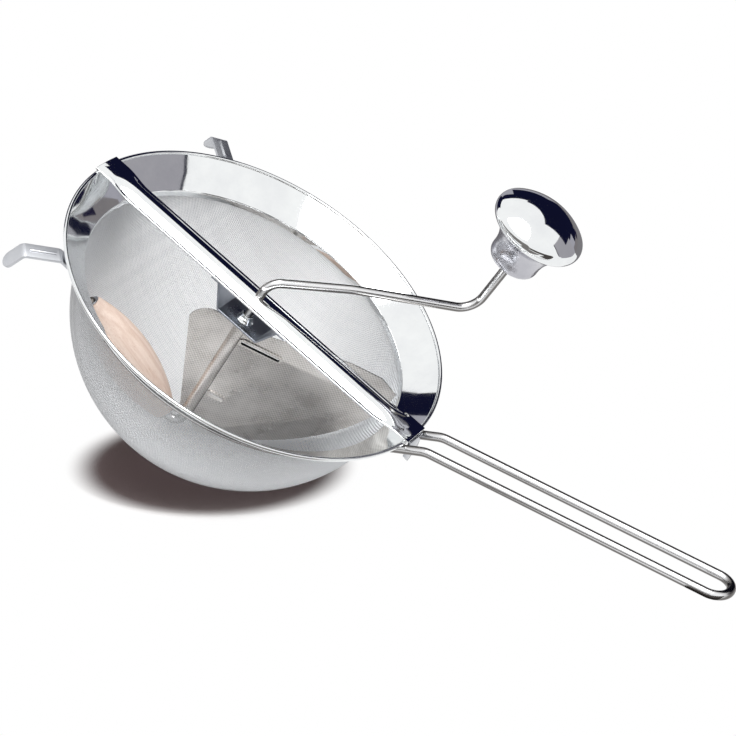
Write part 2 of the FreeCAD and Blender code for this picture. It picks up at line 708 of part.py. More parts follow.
def make_shaft_guide():
    """Strip stirrup under the bar: two feet, sloping legs and a floor."""
    body = add_body("shaft_guide")
    mouth, floor = "Sizes.guide_mouth_length / 2", "Sizes.guide_floor_length / 2"
    toe = f"({mouth} + Sizes.guide_foot_length)"
    top, bottom = "Worked.guide_top", "Worked.guide_floor"
    corners = [(f"0 - {toe}", top), (f"0 - {mouth}", top), (f"0 - {floor}", bottom),
               (floor, bottom), (mouth, top), (toe, top)]
    route = add_sketch(body, "route", "XZ_Plane")
    draw_route(route, corners, ["Sizes.guide_bend"] * 4)
    offset = Placement(Vector(0, 0, -number(toe)), Rotation())
    strip = add_sketch(body, "strip", "YZ_Plane", offset)
    strip.setExpression("AttachmentOffset.Base.z", f"0 - ({toe})")
    side, half = "Sizes.guide_width / 2", "Sizes.guide_gauge / 2"
    draw_outline(strip, [(f"0 - {side}", f"{top} - {half}"), (side, f"{top} - {half}"),
                         (side, f"{top} + {half}"), (f"0 - {side}", f"{top} + {half}")])
    sweep(body, strip, route)
    hole = add_sketch(body, "bush_hole", "XY_Plane")
    draw_circle(hole, (0, 0), "Worked.bush_neck")
    cut_through(body, hole)
    return settle(body)


def make_guide_bush():
    """Turned bush pressed into the stirrup's floor, the shaft's lower bearing."""
    body = add_body("guide_bush")
    floor_top = "Worked.guide_floor + Sizes.guide_gauge / 2"
    floor_under = "Worked.guide_floor - Sizes.guide_gauge / 2"
    neck, head = "Worked.bush_neck", "Worked.bush_neck + Sizes.bush_head_width"
    lip = f"{neck} + Sizes.bush_lip_width"
    corners = [
        ("Worked.bore_radius", f"{floor_under} - Sizes.bush_lip_height"),
        (lip, f"{floor_under} - Sizes.bush_lip_height"), (lip, floor_under),
        (neck, floor_under), (neck, floor_top), (head, floor_top),
        ("Worked.bore_radius + Sizes.bush_crown_wall", f"{floor_top} + Sizes.bush_head_height"),
        ("Worked.bore_radius", f"{floor_top} + Sizes.bush_head_height"),
    ]
    sketch = add_sketch(body, "section", "XZ_Plane")
    draw_outline(sketch, corners, {5: ("Sizes.bush_head_curve", -1)})
    revolve(body, sketch)
    return settle(body)


# --------------------------------------------------------------------------
# Crank
# --------------------------------------------------------------------------
def make_crank_wire():
    """One bent wire: riser, arm, shaft down the axis, and the roller's axle."""
    body = add_body("crank_wire")
    middle = "0 - Worked.axle_corner / 2"
    lean = "tan(Sizes.riser_lean * 1deg)"
    spindle = "(Sizes.knob_height + Sizes.knob_bush_top + Sizes.spindle_end)"
    offset = Placement(Vector(0, 0, number(middle)), Rotation())
    section = add_sketch(body, "section", "XY_Plane", offset)
    section.setExpression("AttachmentOffset.Base.z", middle)
    draw_circle(section, (0, 0), "Worked.wire_radius")
    upper = add_sketch(body, "arm_route", "XZ_Plane", turned_about_z(size("crank_azimuth")))
    draw_route(upper, [
        (0, middle),
        (0, "Sizes.crank_start_height"),
        ("Sizes.crank_kink_reach", "Sizes.crank_kink_height"),
        ("Sizes.crank_reach", "Sizes.crank_elbow_height"),
        (f"Sizes.crank_reach + {spindle} * {lean}", f"Sizes.crank_elbow_height + {spindle}"),
    ], ["Sizes.foot_bend", "Sizes.kink_bend", "Sizes.elbow_bend"])
    sweep(body, section, upper)
    lower = add_sketch(body, "axle_route", "XZ_Plane", turned_about_z(size("axle_azimuth")))
    slope = "Sizes.axle_slope * 1deg"
    draw_route(lower, [
        (0, middle),
        (0, "0 - Worked.axle_corner"),
        (f"Worked.axle_end * cos({slope})",
         f"Worked.axle_end * sin({slope}) - Worked.axle_corner"),
    ], ["Worked.axle_bend"])
    sweep(body, section, lower)
    return settle(body)


def ring_on_wire(name, start, height, radius, inner, hole="Worked.wire_radius"):
    """Plain ring round the wire, in the frame of the run of wire that it sits on."""
    body = add_body(name)
    sketch = add_sketch(body, "section", "XZ_Plane")
    top = f"{start} + {height}"
    draw_outline(sketch, [(hole, start), (radius, start), (radius, top), (hole, top)])
    revolve(body, sketch)
    return settle(body, inner)


def make_thrust_washer():
    """Washer between the stirrup's bush and the top of the blade's sleeve."""
    return ring_on_wire("thrust_washer", "Sizes.seat_gap - Worked.blade_top",
                        "Sizes.washer_gauge", "Worked.washer_radius", UPRIGHT)


def make_knob_stop_ring():
    """Ring upset on the riser that carries the knob."""
    return ring_on_wire("knob_stop_ring", "0 - Sizes.stop_ring_gap - Sizes.stop_ring_height",
                        "Sizes.stop_ring_height", "Worked.wire_radius + Sizes.stop_ring_width",
                        KNOB)


def make_knob_retainer():
    """Push nut on the end of the riser, inside the knob, that keeps the knob on."""
    return ring_on_wire("knob_retainer", "Sizes.knob_bush_top + Sizes.retainer_play",
                        "Sizes.retainer_gauge", "Worked.wire_radius + Sizes.retainer_width",
                        KNOB)


def make_roller_washers():
    """Washers on the axle, one at each end of the roller."""
    radius, gauge = "Worked.washer_radius", "Sizes.washer_gauge"
    inner = f"Worked.roller_start - Sizes.roller_play - {gauge}"
    outer = "Worked.roller_stop + Sizes.roller_play"
    return [ring_on_wire("roller_washer_inner", inner, gauge, radius, AXLE),
            ring_on_wire("roller_washer_outer", outer, gauge, radius, AXLE)]


def make_axle_cap():
    """Domed push cap over the end of the axle."""
    body = add_body("axle_cap")
    start = "Worked.roller_stop + Sizes.roller_play + Sizes.washer_gauge + Sizes.seat_gap"
    radius, rise = "Worked.wire_radius + Sizes.axle_cap_wall", "Sizes.axle_cap_crown"
    shoulder = "Worked.axle_end - Sizes.axle_cap_shoulder"
    crown = f"(({radius}) ^ 2 + {rise} ^ 2) / (2 * {rise})"
    sketch = add_sketch(body, "section", "XZ_Plane")
    draw_outline(sketch, [
        ("Worked.wire_radius", start), (radius, start),
        (radius, shoulder), (0, f"{shoulder} + {rise}"),
        (0, "Worked.axle_end"), ("Worked.wire_radius", "Worked.axle_end"),
    ], {2: (crown, 1)})
    revolve(body, sketch)
    return settle(body, AXLE)


# --------------------------------------------------------------------------
# Scraper blade: one sheet with a sleeve, two slotted ribs and a folded edge
# --------------------------------------------------------------------------
def draw_blade_sheet(sketch):
    """Flat part of the blade: ear on one side of the shaft, wing on the other."""
    lap = "(Worked.sleeve_radius - Sizes.sleeve_lap)"
    corners = [
        ("0 - Sizes.ear_top", "0 - Worked.blade_top"),
        ("0 - Sizes.ear_reach", "0 - Sizes.ear_drop"),
        ("0 - Worked.sleeve_radius - Sizes.ear_foot_width",
         "Sizes.ear_foot_rise - Worked.sleeve_bottom"),
        (f"0 - {lap}", "0 - Worked.sleeve_bottom"),
        (lap, "0 - Worked.sleeve_bottom"),
        ("Worked.fold_inner_x", "Worked.fold_inner_z"),
        ("Worked.fold_outer_x", "Worked.fold_outer_z"),
        ("Worked.tip_x", "0 - Sizes.blade_tip_drop"),
        ("Worked.tip_start", "0 - Sizes.blade_shoulder"),
        ("Sizes.blade_shoulder_start", "0 - Sizes.blade_shoulder"),
        ("Sizes.ear_top", "0 - Worked.blade_top"),
    ]
    arcs = {0: ("Sizes.ear_corner", 1), 6: ("Worked.blade_curve", 1)}
    return draw_outline(sketch, corners, arcs)


def draw_blade_flap(sketch):
    """Folded edge of the blade: a chord at the fold and an arc along the mesh."""
    inner, outer = "0 - Worked.fold_inner_run", "Worked.fold_half_length"
    depth = "sqrt(Worked.flap_curve ^ 2 - Worked.fold_inner_run ^ 2) - Worked.flap_centre"
    return draw_outline(sketch, [(inner, 0), (inner, f"0 - ({depth})"), (outer, 0)],
                        {1: ("Worked.flap_curve", 1)})


def make_scraper_blade():
    """Sheet blade crimped round the shaft, with its outer edge folded back."""
    body = add_body("scraper_blade")
    sheet = add_sketch(body, "sheet", "XZ_Plane")
    pad(body, draw_blade_sheet(sheet), "Sizes.blade_gauge")
    fold = Rotation(AXIS_Z, size("fold_slope")).multiply(Rotation(AXIS_X, size("fold_angle")))
    offset = Placement(Vector(derived("fold_middle_x"), derived("fold_middle_z"), 0), fold)
    flap = add_sketch(body, "flap", "XZ_Plane", offset)
    pad(body, draw_blade_flap(flap), "Sizes.blade_gauge")
    foot = Placement(Vector(0, 0, -derived("sleeve_bottom")), Rotation())
    sleeve = add_sketch(body, "sleeve", "XY_Plane", foot)
    sleeve.setExpression("AttachmentOffset.Base.z", "0 - Worked.sleeve_bottom")
    draw_circle(sleeve, (0, 0), "Worked.sleeve_radius")
    pad(body, sleeve, "Worked.sleeve_bottom - Worked.blade_top", both_ways=False)
    ribs = [("upper", "Worked.upper_rib_level", "Sizes.upper_rib_end"),
            ("lower", "Worked.lower_rib_level", "Sizes.lower_rib_end")]
    start = "Worked.sleeve_radius + Sizes.rib_start"
    for name, level, end in ribs:
        stop = f"{end} - Sizes.rib_width / 2"
        rib = add_sketch(body, f"{name}_rib", "XZ_Plane")
        draw_slot(rib, start, stop, level, "Sizes.rib_width")
        pad(body, rib, "Sizes.rib_height + Sizes.blade_gauge / 2", both_ways=False)
        slot = add_sketch(body, f"{name}_slot", "XZ_Plane")
        draw_slot(slot, start, stop, level, "Sizes.slot_width")
        cut_through(body, slot)
    bore = add_sketch(body, "bore", "XY_Plane")
    draw_circle(bore, (0, 0), "Worked.wire_radius + Sizes.weld_gap")
    cut_through(body, bore)
    return settle(body, Placement(Vector(), Rotation(AXIS_Z, size("blade_azimuth"))))


# --------------------------------------------------------------------------
# Roller and knob
# --------------------------------------------------------------------------
def make_wooden_roller():
    """Turned olive of wood whose curve follows the inside of the bowl."""
    body = add_body("wooden_roller")
    bottom, top = "Worked.roller_start", "Worked.roller_stop"
    bore, end = "Worked.bore_radius", "Worked.roller_end_radius"
    sketch = add_sketch(body, "section", "XZ_Plane")
    draw_outline(sketch, [(bore, bottom), (end, bottom), (end, top), (bore, top)],
                 {1: ("Worked.roller_curve", 1)})
    revolve(body, sketch)
    doc.recompute()
    rims = [f"Edge{n}" for n, edge in enumerate(body.Shape.Edges, start=1)
            if edge.Curve.TypeId == "Part::GeomCircle"
            and abs(edge.Curve.Radius - derived("roller_end_radius")) < SAME]
    round_over(body, rims, "Sizes.roller_end_round")
    return settle(body, AXLE)


def make_knob_skirt():
    """Bell-shaped lower shell of the knob."""
    body = add_body("knob_skirt")
    gauge, base = "Sizes.knob_gauge", "Sizes.knob_base_radius"
    turn_in = f"({base} - Sizes.knob_base_round)"
    hole = "Worked.knob_hole_radius"
    waist = "Sizes.knob_waist_height"
    flare, share = "Worked.flare_curve", "Worked.flare_share"
    centre = f"({base} + {flare})"
    end_x = f"{centre} + (Worked.flare_reach - {centre}) * {share}"
    end_z = f"{waist} + (Worked.flare_height - {waist}) * {share}"
    corners = [
        (hole, 0), (turn_in, 0), (base, "Sizes.knob_base_round"), (base, waist),
        ("Worked.flare_reach", "Worked.flare_height"), (end_x, end_z),
        (f"{base} - {gauge}", waist), (f"{base} - {gauge}", "Sizes.knob_base_round"),
        (turn_in, gauge), (hole, gauge),
    ]
    arcs = {1: ("Sizes.knob_base_round", 1), 3: (flare, -1),
            5: (f"{flare} + {gauge}", 1), 7: (f"Sizes.knob_base_round - {gauge}", -1)}
    sketch = add_sketch(body, "section", "XZ_Plane")
    revolve(body, draw_outline(sketch, corners, arcs))
    return settle(body, KNOB)


def make_knob_cap():
    """Domed upper shell of the knob, rolled in at its rim."""
    body = add_body("knob_cap")
    gauge, rim = "Sizes.knob_gauge", "Sizes.knob_rim_round"
    reach, height = "Worked.rim_round_reach", "Sizes.knob_rim_height"
    under = "Sizes.knob_rim_undercut * 1deg"
    share = "Worked.dome_share"
    dome, centre = "Worked.dome_radius", "Worked.dome_centre"
    inner_share = f"(({dome} - {gauge}) / {dome})"
    meet = (f"{reach} * {share}", f"{centre} + ({height} - {centre}) * {share}")
    inner_meet = (f"{reach} * {share} * {inner_share}",
                  f"{centre} + ({height} - {centre}) * {share} * {inner_share}")
    corners = [
        (0, f"{centre} + {dome}"), (0, f"{centre} + {dome} - {gauge}"), inner_meet,
        (f"{reach} + ({rim} - {gauge}) * cos({under})",
         f"{height} - ({rim} - {gauge}) * sin({under})"),
        (f"{reach} + {rim} * cos({under})", f"{height} - {rim} * sin({under})"), meet,
    ]
    arcs = {1: (f"{dome} - {gauge}", -1), 2: (f"{rim} - {gauge}", -1), 4: (rim, 1), 5: (dome, 1)}
    sketch = add_sketch(body, "section", "XZ_Plane")
    revolve(body, draw_outline(sketch, corners, arcs))
    return settle(body, KNOB)


def make_knob_bush():
    """Tube inside the knob that turns on the riser, flanged at its foot."""
    body = add_body("knob_bush")
    bore, wall = "Worked.bore_radius", "Worked.knob_bush_radius"
    flange, foot = f"{wall} + Sizes.knob_flange_width", "Sizes.seat_gap"
    seat, top = "Sizes.knob_gauge + Sizes.weld_gap", "2 * Sizes.knob_gauge"
    corners = [
        (bore, foot), (wall, foot), (wall, seat), (flange, seat),
        (flange, top), (wall, top), (wall, "Sizes.knob_bush_top"),
        (bore, "Sizes.knob_bush_top"),
    ]
    sketch = add_sketch(body, "section", "XZ_Plane")
    revolve(body, draw_outline(sketch, corners))
    return settle(body, KNOB)


def make_knob_inner_plate():
    """Disc inside the knob that joins the top of the bush to the skirt."""
    level, gauge = "Sizes.knob_plate_height", "Sizes.knob_gauge"
    outer = ("Sizes.knob_base_radius + Worked.flare_curve"
             f" - sqrt((Worked.flare_curve + {gauge}) ^ 2"
             f" - ({level} - Sizes.knob_waist_height) ^ 2) - Sizes.seat_gap")
    return ring_on_wire("knob_inner_plate", level, gauge, outer, KNOB,
                        hole="Worked.knob_hole_radius")


# --------------------------------------------------------------------------
# Handle and hooks
# --------------------------------------------------------------------------
def make_handle_loop():
    """Wire loop handle: two legs up the flare and out, joined by a round end."""
    body = add_body("handle_loop")
    half = "Sizes.handle_half_width"
    side = Placement(Vector(0, 0, -size("handle_half_width")), Rotation())
    route = add_sketch(body, "leg_route", "XZ_Plane", side)
    route.setExpression("AttachmentOffset.Base.z", f"0 - {half}")
    draw_route(route, [
        ("Worked.handle_root", "Worked.handle_root_height"),
        ("Worked.handle_bend_reach", "Sizes.handle_bend_height"),
        ("Worked.loop_centre_x", "Worked.loop_centre_z"),
    ], ["Sizes.handle_bend"])
    end = Placement(Vector(derived("loop_centre_x"), 0, derived("loop_centre_z")),
                    Rotation(AXIS_Y, -size("handle_slope")))
    section = add_sketch(body, "section", "YZ_Plane", carried(end))
    draw_circle(section, (half, 0), "Sizes.handle_gauge / 2")
    sweep(body, section, route)
    doc.recompute()
    first_leg = body.Tip
    mirror = body.newObject("PartDesign::Mirrored", "handle_loop_second_leg")
    mirror.Originals = [first_leg]
    mirror.MirrorPlane = (origin_plane(body, "XZ_Plane"), [""])
    body.Tip = mirror
    turned = add_sketch(body, "end_section", "YZ_Plane", section.AttachmentOffset)
    draw_circle(turned, (half, 0), "Sizes.handle_gauge / 2")
    end_turn = revolve(body, turned, 180)
    end_turn.Reversed = True
    return settle(body)


def make_handle_bracket():
    """Gusset plate between the handle's wires, against the rolled rim.

    Its tip leans away from the bowl.
    """
    body = add_body("handle_bracket")
    half = "(Sizes.handle_half_width - Sizes.handle_gauge / 2 - Sizes.weld_gap)"
    start = "Worked.rim_radius + Sizes.seat_gap"
    lean = Rotation(AXIS_X, -size("gusset_lean"))
    sketch = add_sketch(body, "plate", "YZ_Plane", Placement(Vector(0, 0, number(start)), lean))
    sketch.setExpression("AttachmentOffset.Base.z", start)
    top, shoulder = "Sizes.gusset_top", "0 - Sizes.gusset_shoulder"
    draw_outline(sketch, [(f"0 - {half}", top), (f"0 - {half}", shoulder),
                          (0, "0 - Sizes.gusset_tip"), (half, shoulder), (half, top)])
    pad(body, sketch, "Sizes.gusset_gauge", both_ways=False)
    return settle(body)


def make_hook(name, azimuth):
    """Strip hook with a bent, rounded tip and a pressed rib along its middle."""
    body = add_body(name)
    route = add_sketch(body, "route", "XZ_Plane")
    draw_route(route, [
        ("Worked.hook_root", "Worked.hook_root_height"),
        ("Worked.hook_shoulder", "Worked.hook_shoulder_height"),
        ("Worked.hook_corner_reach", "0 - Sizes.hook_corner_drop"),
        ("Worked.hook_tip_reach", "0 - Sizes.hook_tip_drop"),
    ], ["Sizes.hook_bend", "Sizes.hook_bend"])
    root = Vector(derived("hook_root"), 0, derived("hook_root_height"))
    shoulder = Vector(derived("hook_shoulder"), 0, derived("hook_shoulder_height"))
    slope = math.degrees(math.atan2(shoulder.z - root.z, shoulder.x - root.x))
    strip = add_sketch(body, "strip", "YZ_Plane",
                       carried(Placement(root, Rotation(AXIS_Y, -slope))))
    side, half = "Sizes.hook_width / 2", "Sizes.hook_gauge / 2"
    draw_outline(strip, [(f"0 - {side}", f"0 - {half}"), (side, f"0 - {half}"),
                         (side, half), (f"0 - {side}", half)])
    sweep(body, strip, route)
    doc.recompute()
    tip = Vector(derived("hook_tip_reach"), 0, -size("hook_tip_drop"))
    corners_at_tip = [f"Edge{n}" for n, edge in enumerate(body.Shape.Edges, start=1)
                      if abs(edge.Length - size("hook_gauge")) < SAME
                      and (edge.CenterOfMass - tip).Length < size("hook_width")]
    round_over(body, corners_at_tip, "Sizes.hook_width / 2 - Sizes.hook_tip_flat")
    rib_start = ("Worked.hook_rib_start", "Worked.hook_rib_start_height")
    rib_stop = ("Worked.hook_rib_stop", "Worked.hook_rib_stop_height")
    rib_route = add_sketch(body, "rib_route", "XZ_Plane")
    draw_outline(rib_route, [rib_start, rib_stop], closed=False)
    rib = add_sketch(body, "rib_section", "YZ_Plane",
                     Placement(Vector(0, 0, number(rib_start[0])), Rotation()))
    rib.setExpression("AttachmentOffset.Base.z", rib_start[0])
    draw_circle(rib, (0, rib_start[1]), "Sizes.hook_rib_radius")
    sweep(body, rib, rib_route)
    return settle(body, Placement(Vector(), Rotation(AXIS_Z, azimuth)))


# --------------------------------------------------------------------------
# Build, check and write
# --------------------------------------------------------------------------
def build():
    """Makes every piece and returns the bodies."""
    return [
        make_mesh_bowl(),
        make_mesh_edge_ring(),
        make_rim_band(),
        make_cross_bar(),
        make_shaft_guide(),
        make_guide_bush(),
        make_handle_loop(),
        make_handle_bracket(),
        make_hook("hook_left", -size("hook_azimuth")),
        make_hook("hook_right", size("hook_azimuth")),
        make_crank_wire(),
        make_thrust_washer(),
        make_scraper_blade(),
        *make_roller_washers(),
        make_axle_cap(),
        make_knob_stop_ring(),
        make_knob_retainer(),
        make_wooden_roller(),
        make_knob_skirt(),
        make_knob_cap(),
        make_knob_bush(),
        make_knob_inner_plate(),
    ]


def check(bodies):
    """Stops the build if any object failed or any piece isn't a sound solid."""
    failed = [o.Name for o in doc.Objects if {"Invalid", "Error"} & set(o.State)]
    if failed:
        raise RuntimeError(f"failed objects: {failed}")
    for body in bodies:
        if body.Shape.isNull() or not body.Shape.isValid() or body.Shape.Volume <= 0:
            raise RuntimeError(f"{body.Label} has no sound solid")


def export(bodies):
    """Writes each piece to a file of its own."""
    os.makedirs("parts", exist_ok=True)
    for body in bodies:
        body.Shape.exportStep(f"parts/{body.Label}.step")


pieces = build()
doc.recompute()
check(pieces)
export(pieces)
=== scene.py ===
"""Looks of a tomato strainer: woven bowl, polished rim, crank, blade, roller and knob.

Lengths in the classes are millimetres in the bowl's own frame, whose Z is the
crank's axis, whose Z = 0 is the rim and whose +X points along the handle. The
packed joints say where that frame lies, so every piece lands on its CAD node.
"""

import json
import logging
import math
from dataclasses import dataclass, field
from enum import Enum

import bmesh
import bpy
from mathutils import Euler, Matrix, Vector


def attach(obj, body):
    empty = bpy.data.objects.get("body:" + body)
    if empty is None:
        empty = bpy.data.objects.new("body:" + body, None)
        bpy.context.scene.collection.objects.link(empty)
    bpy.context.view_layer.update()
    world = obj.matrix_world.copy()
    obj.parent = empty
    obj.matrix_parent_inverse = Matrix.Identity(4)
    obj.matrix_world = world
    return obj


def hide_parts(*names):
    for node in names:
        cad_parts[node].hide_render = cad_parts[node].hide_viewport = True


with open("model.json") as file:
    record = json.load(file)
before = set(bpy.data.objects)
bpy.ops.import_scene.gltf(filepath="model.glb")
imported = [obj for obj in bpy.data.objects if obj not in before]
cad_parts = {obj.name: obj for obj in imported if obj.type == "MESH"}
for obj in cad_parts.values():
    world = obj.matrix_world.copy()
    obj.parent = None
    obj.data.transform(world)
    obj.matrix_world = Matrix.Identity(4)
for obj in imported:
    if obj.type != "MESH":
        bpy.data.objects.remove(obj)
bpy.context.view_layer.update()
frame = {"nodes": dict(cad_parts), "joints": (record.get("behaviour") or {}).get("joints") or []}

LOG = logging.getLogger("strainer")
MM = 0.001  # metres in a millimetre
METRES = Matrix.Scale(MM, 4)  # takes a shape in millimetres to metres, where it stands
HAIR = 1e-4  # millimetres between points that count as one
WIRE = 5.0  # diameter of the wire that the crank and the handle are bent from
BORE = WIRE / 2 + 0.1  # radius of the bush's and the roller's bore, just clear of it
BLADE_AZIMUTH = 25.0  # degrees about the crank's axis from +X to the blade's sheet
X, Y, Z = Vector((1, 0, 0)), Vector((0, 1, 0)), Vector((0, 0, 1))

Pair = tuple[float, float]
Triple = tuple[float, float, float]
Quad = tuple[float, float, float, float]
Node, Socket, Tree = bpy.types.Node, bpy.types.NodeSocket, bpy.types.NodeTree
Material = bpy.types.Material
BMesh, BMVert, BMEdge = bmesh.types.BMesh, bmesh.types.BMVert, bmesh.types.BMEdge


class Body(Enum):
    """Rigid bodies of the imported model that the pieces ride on."""

    STRAINER = "strainer"
    CRANK = "crank"
    ROLLER = "roller"
    KNOB = "knob"


class Joint(Enum):
    """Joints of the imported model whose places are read."""

    CRANK = "crank_turn"
    ROLLER = "roller_spin"
    KNOB = "knob_spin"


# ---- Places ----
def joint_place(joint: Joint, scale: float = MM) -> Matrix:
    """Place of a joint's own frame, with Z along its axis and Y kept level.

    Args:
        joint: The joint to read.
        scale: Length in metres of one unit of the frame.

    Returns:
        Matrix from the joint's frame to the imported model's frame.
    """
    facts = next(j for j in frame["joints"] if j["name"] == joint.value)
    up = Vector(facts["axis"]).normalized()
    along = Y.cross(up).normalized()
    side = up.cross(along)
    turn = Matrix((along, side, up)).transposed().to_4x4()
    return Matrix.Translation(facts["pos_m"]) @ turn @ Matrix.Scale(scale, 4)


BOWL = joint_place(Joint.CRANK)


def turned(azimuth: float) -> Matrix:
    """Turn about the crank's axis by an azimuth in degrees."""
    return Matrix.Rotation(math.radians(azimuth), 4, "Z")


# ---- Finishes ----
def linear(colour: str) -> Quad:
    """Linear RGBA of an sRGB colour.

    Args:
        colour: Colour as a hex value such as "#d8c0b0".

    Returns:
        Red, green, blue and an alpha of 1, ready for a node's socket.
    """
    channels = [int(colour[place:place + 2], 16) / 255 for place in (1, 3, 5)]
    return tuple(
        c / 12.92 if c <= 0.04045 else ((c + 0.055) / 1.055) ** 2.4 for c in channels
    ) + (1.0,)


def add_node(tree: Tree, kind: str, inputs: dict | None = None,
             **settings: object) -> Node:
    """Adds one node to a tree.

    Args:
        tree: Node tree that the node joins.
        kind: Name of the shader node's type, such as "TexNoise".
        inputs: Socket names or numbers, each with a value or a socket to link.
        settings: Properties of the node itself.

    Returns:
        The new node.
    """
    node = tree.nodes.new(f"ShaderNode{kind}")
    for name, value in settings.items():
        setattr(node, name, value)
    for name, value in (inputs or {}).items():
        socket = node.inputs[name]
        if isinstance(value, Socket):
            tree.links.new(value, socket)
        else:
            socket.default_value = value
    return node


# Numbers of a Mix node's colour sockets, whose names its other types share.
MIX_FROM, MIX_TO, MIX_OUT = 6, 7, 2


def fill_ramp(node: Node, stops: dict[float, str]) -> Socket:
    """Gives a colour ramp its two stops.

    Args:
        node: The colour ramp.
        stops: Colour of each stop as a hex value, by its position.

    Returns:
        The ramp's colour socket.
    """
    for element, (position, colour) in zip(node.color_ramp.elements, stops.items()):
        element.position, element.color = position, linear(colour)
    return node.outputs["Color"]


def fresh_tree(owner: Material | bpy.types.World) -> Tree:
    """Gives a material or world an empty node tree.

    Args:
        owner: The material or world.

    Returns:
        Its node tree.
    """
    owner.use_nodes = True
    owner.node_tree.nodes.clear()
    return owner.node_tree


@dataclass(frozen=True)
class Finish:
    """What every finish shares: a name, and a material that is made once."""

    name: str

    def material(self) -> Material:
        """Makes the finish's material on first use.

        Returns:
            The material.
        """
        known = bpy.data.materials.get(self.name)
        if known:
            return known
        made = bpy.data.materials.new(self.name)
        tree = fresh_tree(made)
        place = add_node(tree, "TexCoord").outputs["Object"]
        shader = self.dress(tree, place)
        add_node(tree, "OutputMaterial", {"Surface": shader.outputs[0]})
        return made

    def dress(self, tree: Tree, place: Socket) -> Node:
        """Builds the finish's own surface.

        Args:
            tree: Node tree that the surface joins.
            place: Socket with the object's coordinates.

        Returns:
            The shader node.
        """
        raise NotImplementedError

    def surface(self, tree: Tree, colour: Socket,
                wear: tuple[Socket, float, float], gloss: Pair,
                relief: tuple[Socket, float],
                metallic: float = 1.0) -> Node:
        """Joins colour, gloss and relief in one shader.

        Args:
            tree: Node tree that the shader joins.
            colour: Socket with the base colour.
            wear: Socket that the gloss follows, and the span of it that counts.
            gloss: Roughness at the two ends of that span.
            relief: Socket with the height, and the height in millimetres of 1.
            metallic: Share of the surface that is bare metal.

        Returns:
            The shader node.
        """
        rough = add_node(tree, "MapRange", {
            "Value": wear[0], "From Min": wear[1], "From Max": wear[2],
            "To Min": gloss[0], "To Max": gloss[1]})
        bump = add_node(tree, "Bump", {
            "Height": relief[0], "Distance": relief[1] * MM, "Strength": 1.0})
        return add_node(tree, "BsdfPrincipled", {
            "Base Color": colour, "Metallic": metallic,
            "Roughness": rough.outputs["Result"], "Normal": bump.outputs["Normal"]})


@dataclass(frozen=True)
class Polished(Finish):
    """Nickel-chrome plate over pressed or drawn steel, buffed bright.

    A faint haze of wiping marks breaks up the gloss, and the plate follows the
    slight unevenness that pressing leaves in the sheet.
    """

    colour: str = "#f4f6f6"
    smudge: str = "#e6e8ea"
    roughness: float = 0.035
    haze: float = 0.05
    haze_size: float = 18.0
    haze_span: Pair = (0.35, 0.75)
    smudge_span: Pair = (0.3, 0.8)
    wave_size: float = 22.0
    wave_height: float = 0.010
    metallic: float = 1.0

    def dress(self, tree: Tree, place: Socket) -> Node:
        """Builds the plate: near-mirror metal with haze and a slow wave.

        Args:
            tree: Node tree that the surface joins.
            place: Socket with the object's coordinates.

        Returns:
            The shader node.
        """
        haze = add_node(tree, "TexNoise", {
            "Vector": place, "Scale": 1 / (self.haze_size * MM), "Detail": 4.0,
            "Roughness": 0.6}).outputs["Fac"]
        clean, marked = self.smudge_span
        tint = fill_ramp(add_node(tree, "ValToRGB", {"Fac": haze}), {
            clean: self.colour, marked: self.smudge})
        wave = add_node(tree, "TexNoise", {
            "Vector": place, "Scale": 1 / (self.wave_size * MM), "Detail": 0.0})
        return self.surface(tree, tint, (haze, *self.haze_span),
                            (self.roughness, self.roughness + self.haze),
                            (wave.outputs["Fac"], self.wave_height), self.metallic)


@dataclass(frozen=True)
class DrawnWire(Finish):
    """Steel wire drawn through a die and plated: bright, with fine die lines.

    Its flanks get a painted shade by viewing angle, which stands in for what
    they would reflect, so a bright middle runs between two greyer edges.
    """

    colour: str = "#f0f0f1"
    line_colour: str = "#dfe0e2"
    line_span: Pair = (0.25, 0.6)
    painted_flank_shade: str = "#6f6c6a"
    painted_flank_span: Pair = (0.07, 0.36)
    roughness: float = 0.15
    spread: float = 0.04
    line_size: float = 0.5
    line_height: float = 0.0004
    patch_size: float = 15.0
    patch_span: Pair = (0.3, 0.7)
    metallic: float = 1.0

    def dress(self, tree: Tree, place: Socket) -> Node:
        """Builds the wire: fine specks and lines in colour, gloss and relief, and painted shade
        on its flanks.

        Args:
            tree: Node tree that the surface joins.
            place: Socket with the object's coordinates.

        Returns:
            The shader node.
        """
        lines = add_node(tree, "TexNoise", {
            "Vector": place, "Scale": 1 / (self.line_size * MM), "Detail": 3.0,
            "Roughness": 0.65, "Distortion": 0.4}).outputs["Fac"]
        patches = add_node(tree, "TexNoise", {
            "Vector": place, "Scale": 1 / (self.patch_size * MM), "Detail": 2.0})
        low, high = self.line_span
        tint = fill_ramp(add_node(tree, "ValToRGB", {"Fac": lines}), {
            low: self.line_colour, high: self.colour})
        # Painted shade: the wire greys towards its flanks by viewing angle.
        facing = add_node(tree, "LayerWeight", {"Blend": 0.5})
        flank = add_node(tree, "MapRange", {
            "Value": facing.outputs["Facing"], "From Min": self.painted_flank_span[0],
            "From Max": self.painted_flank_span[1]}, interpolation_type="SMOOTHSTEP")
        shaded = add_node(tree, "Mix", {
            0: flank.outputs["Result"], MIX_FROM: tint, MIX_TO: linear(self.painted_flank_shade)},
            data_type="RGBA")
        return self.surface(tree, shaded.outputs[MIX_OUT],
                            (patches.outputs["Fac"], *self.patch_span),
                            (self.roughness, self.roughness + self.spread),
                            (lines, self.line_height), self.metallic)


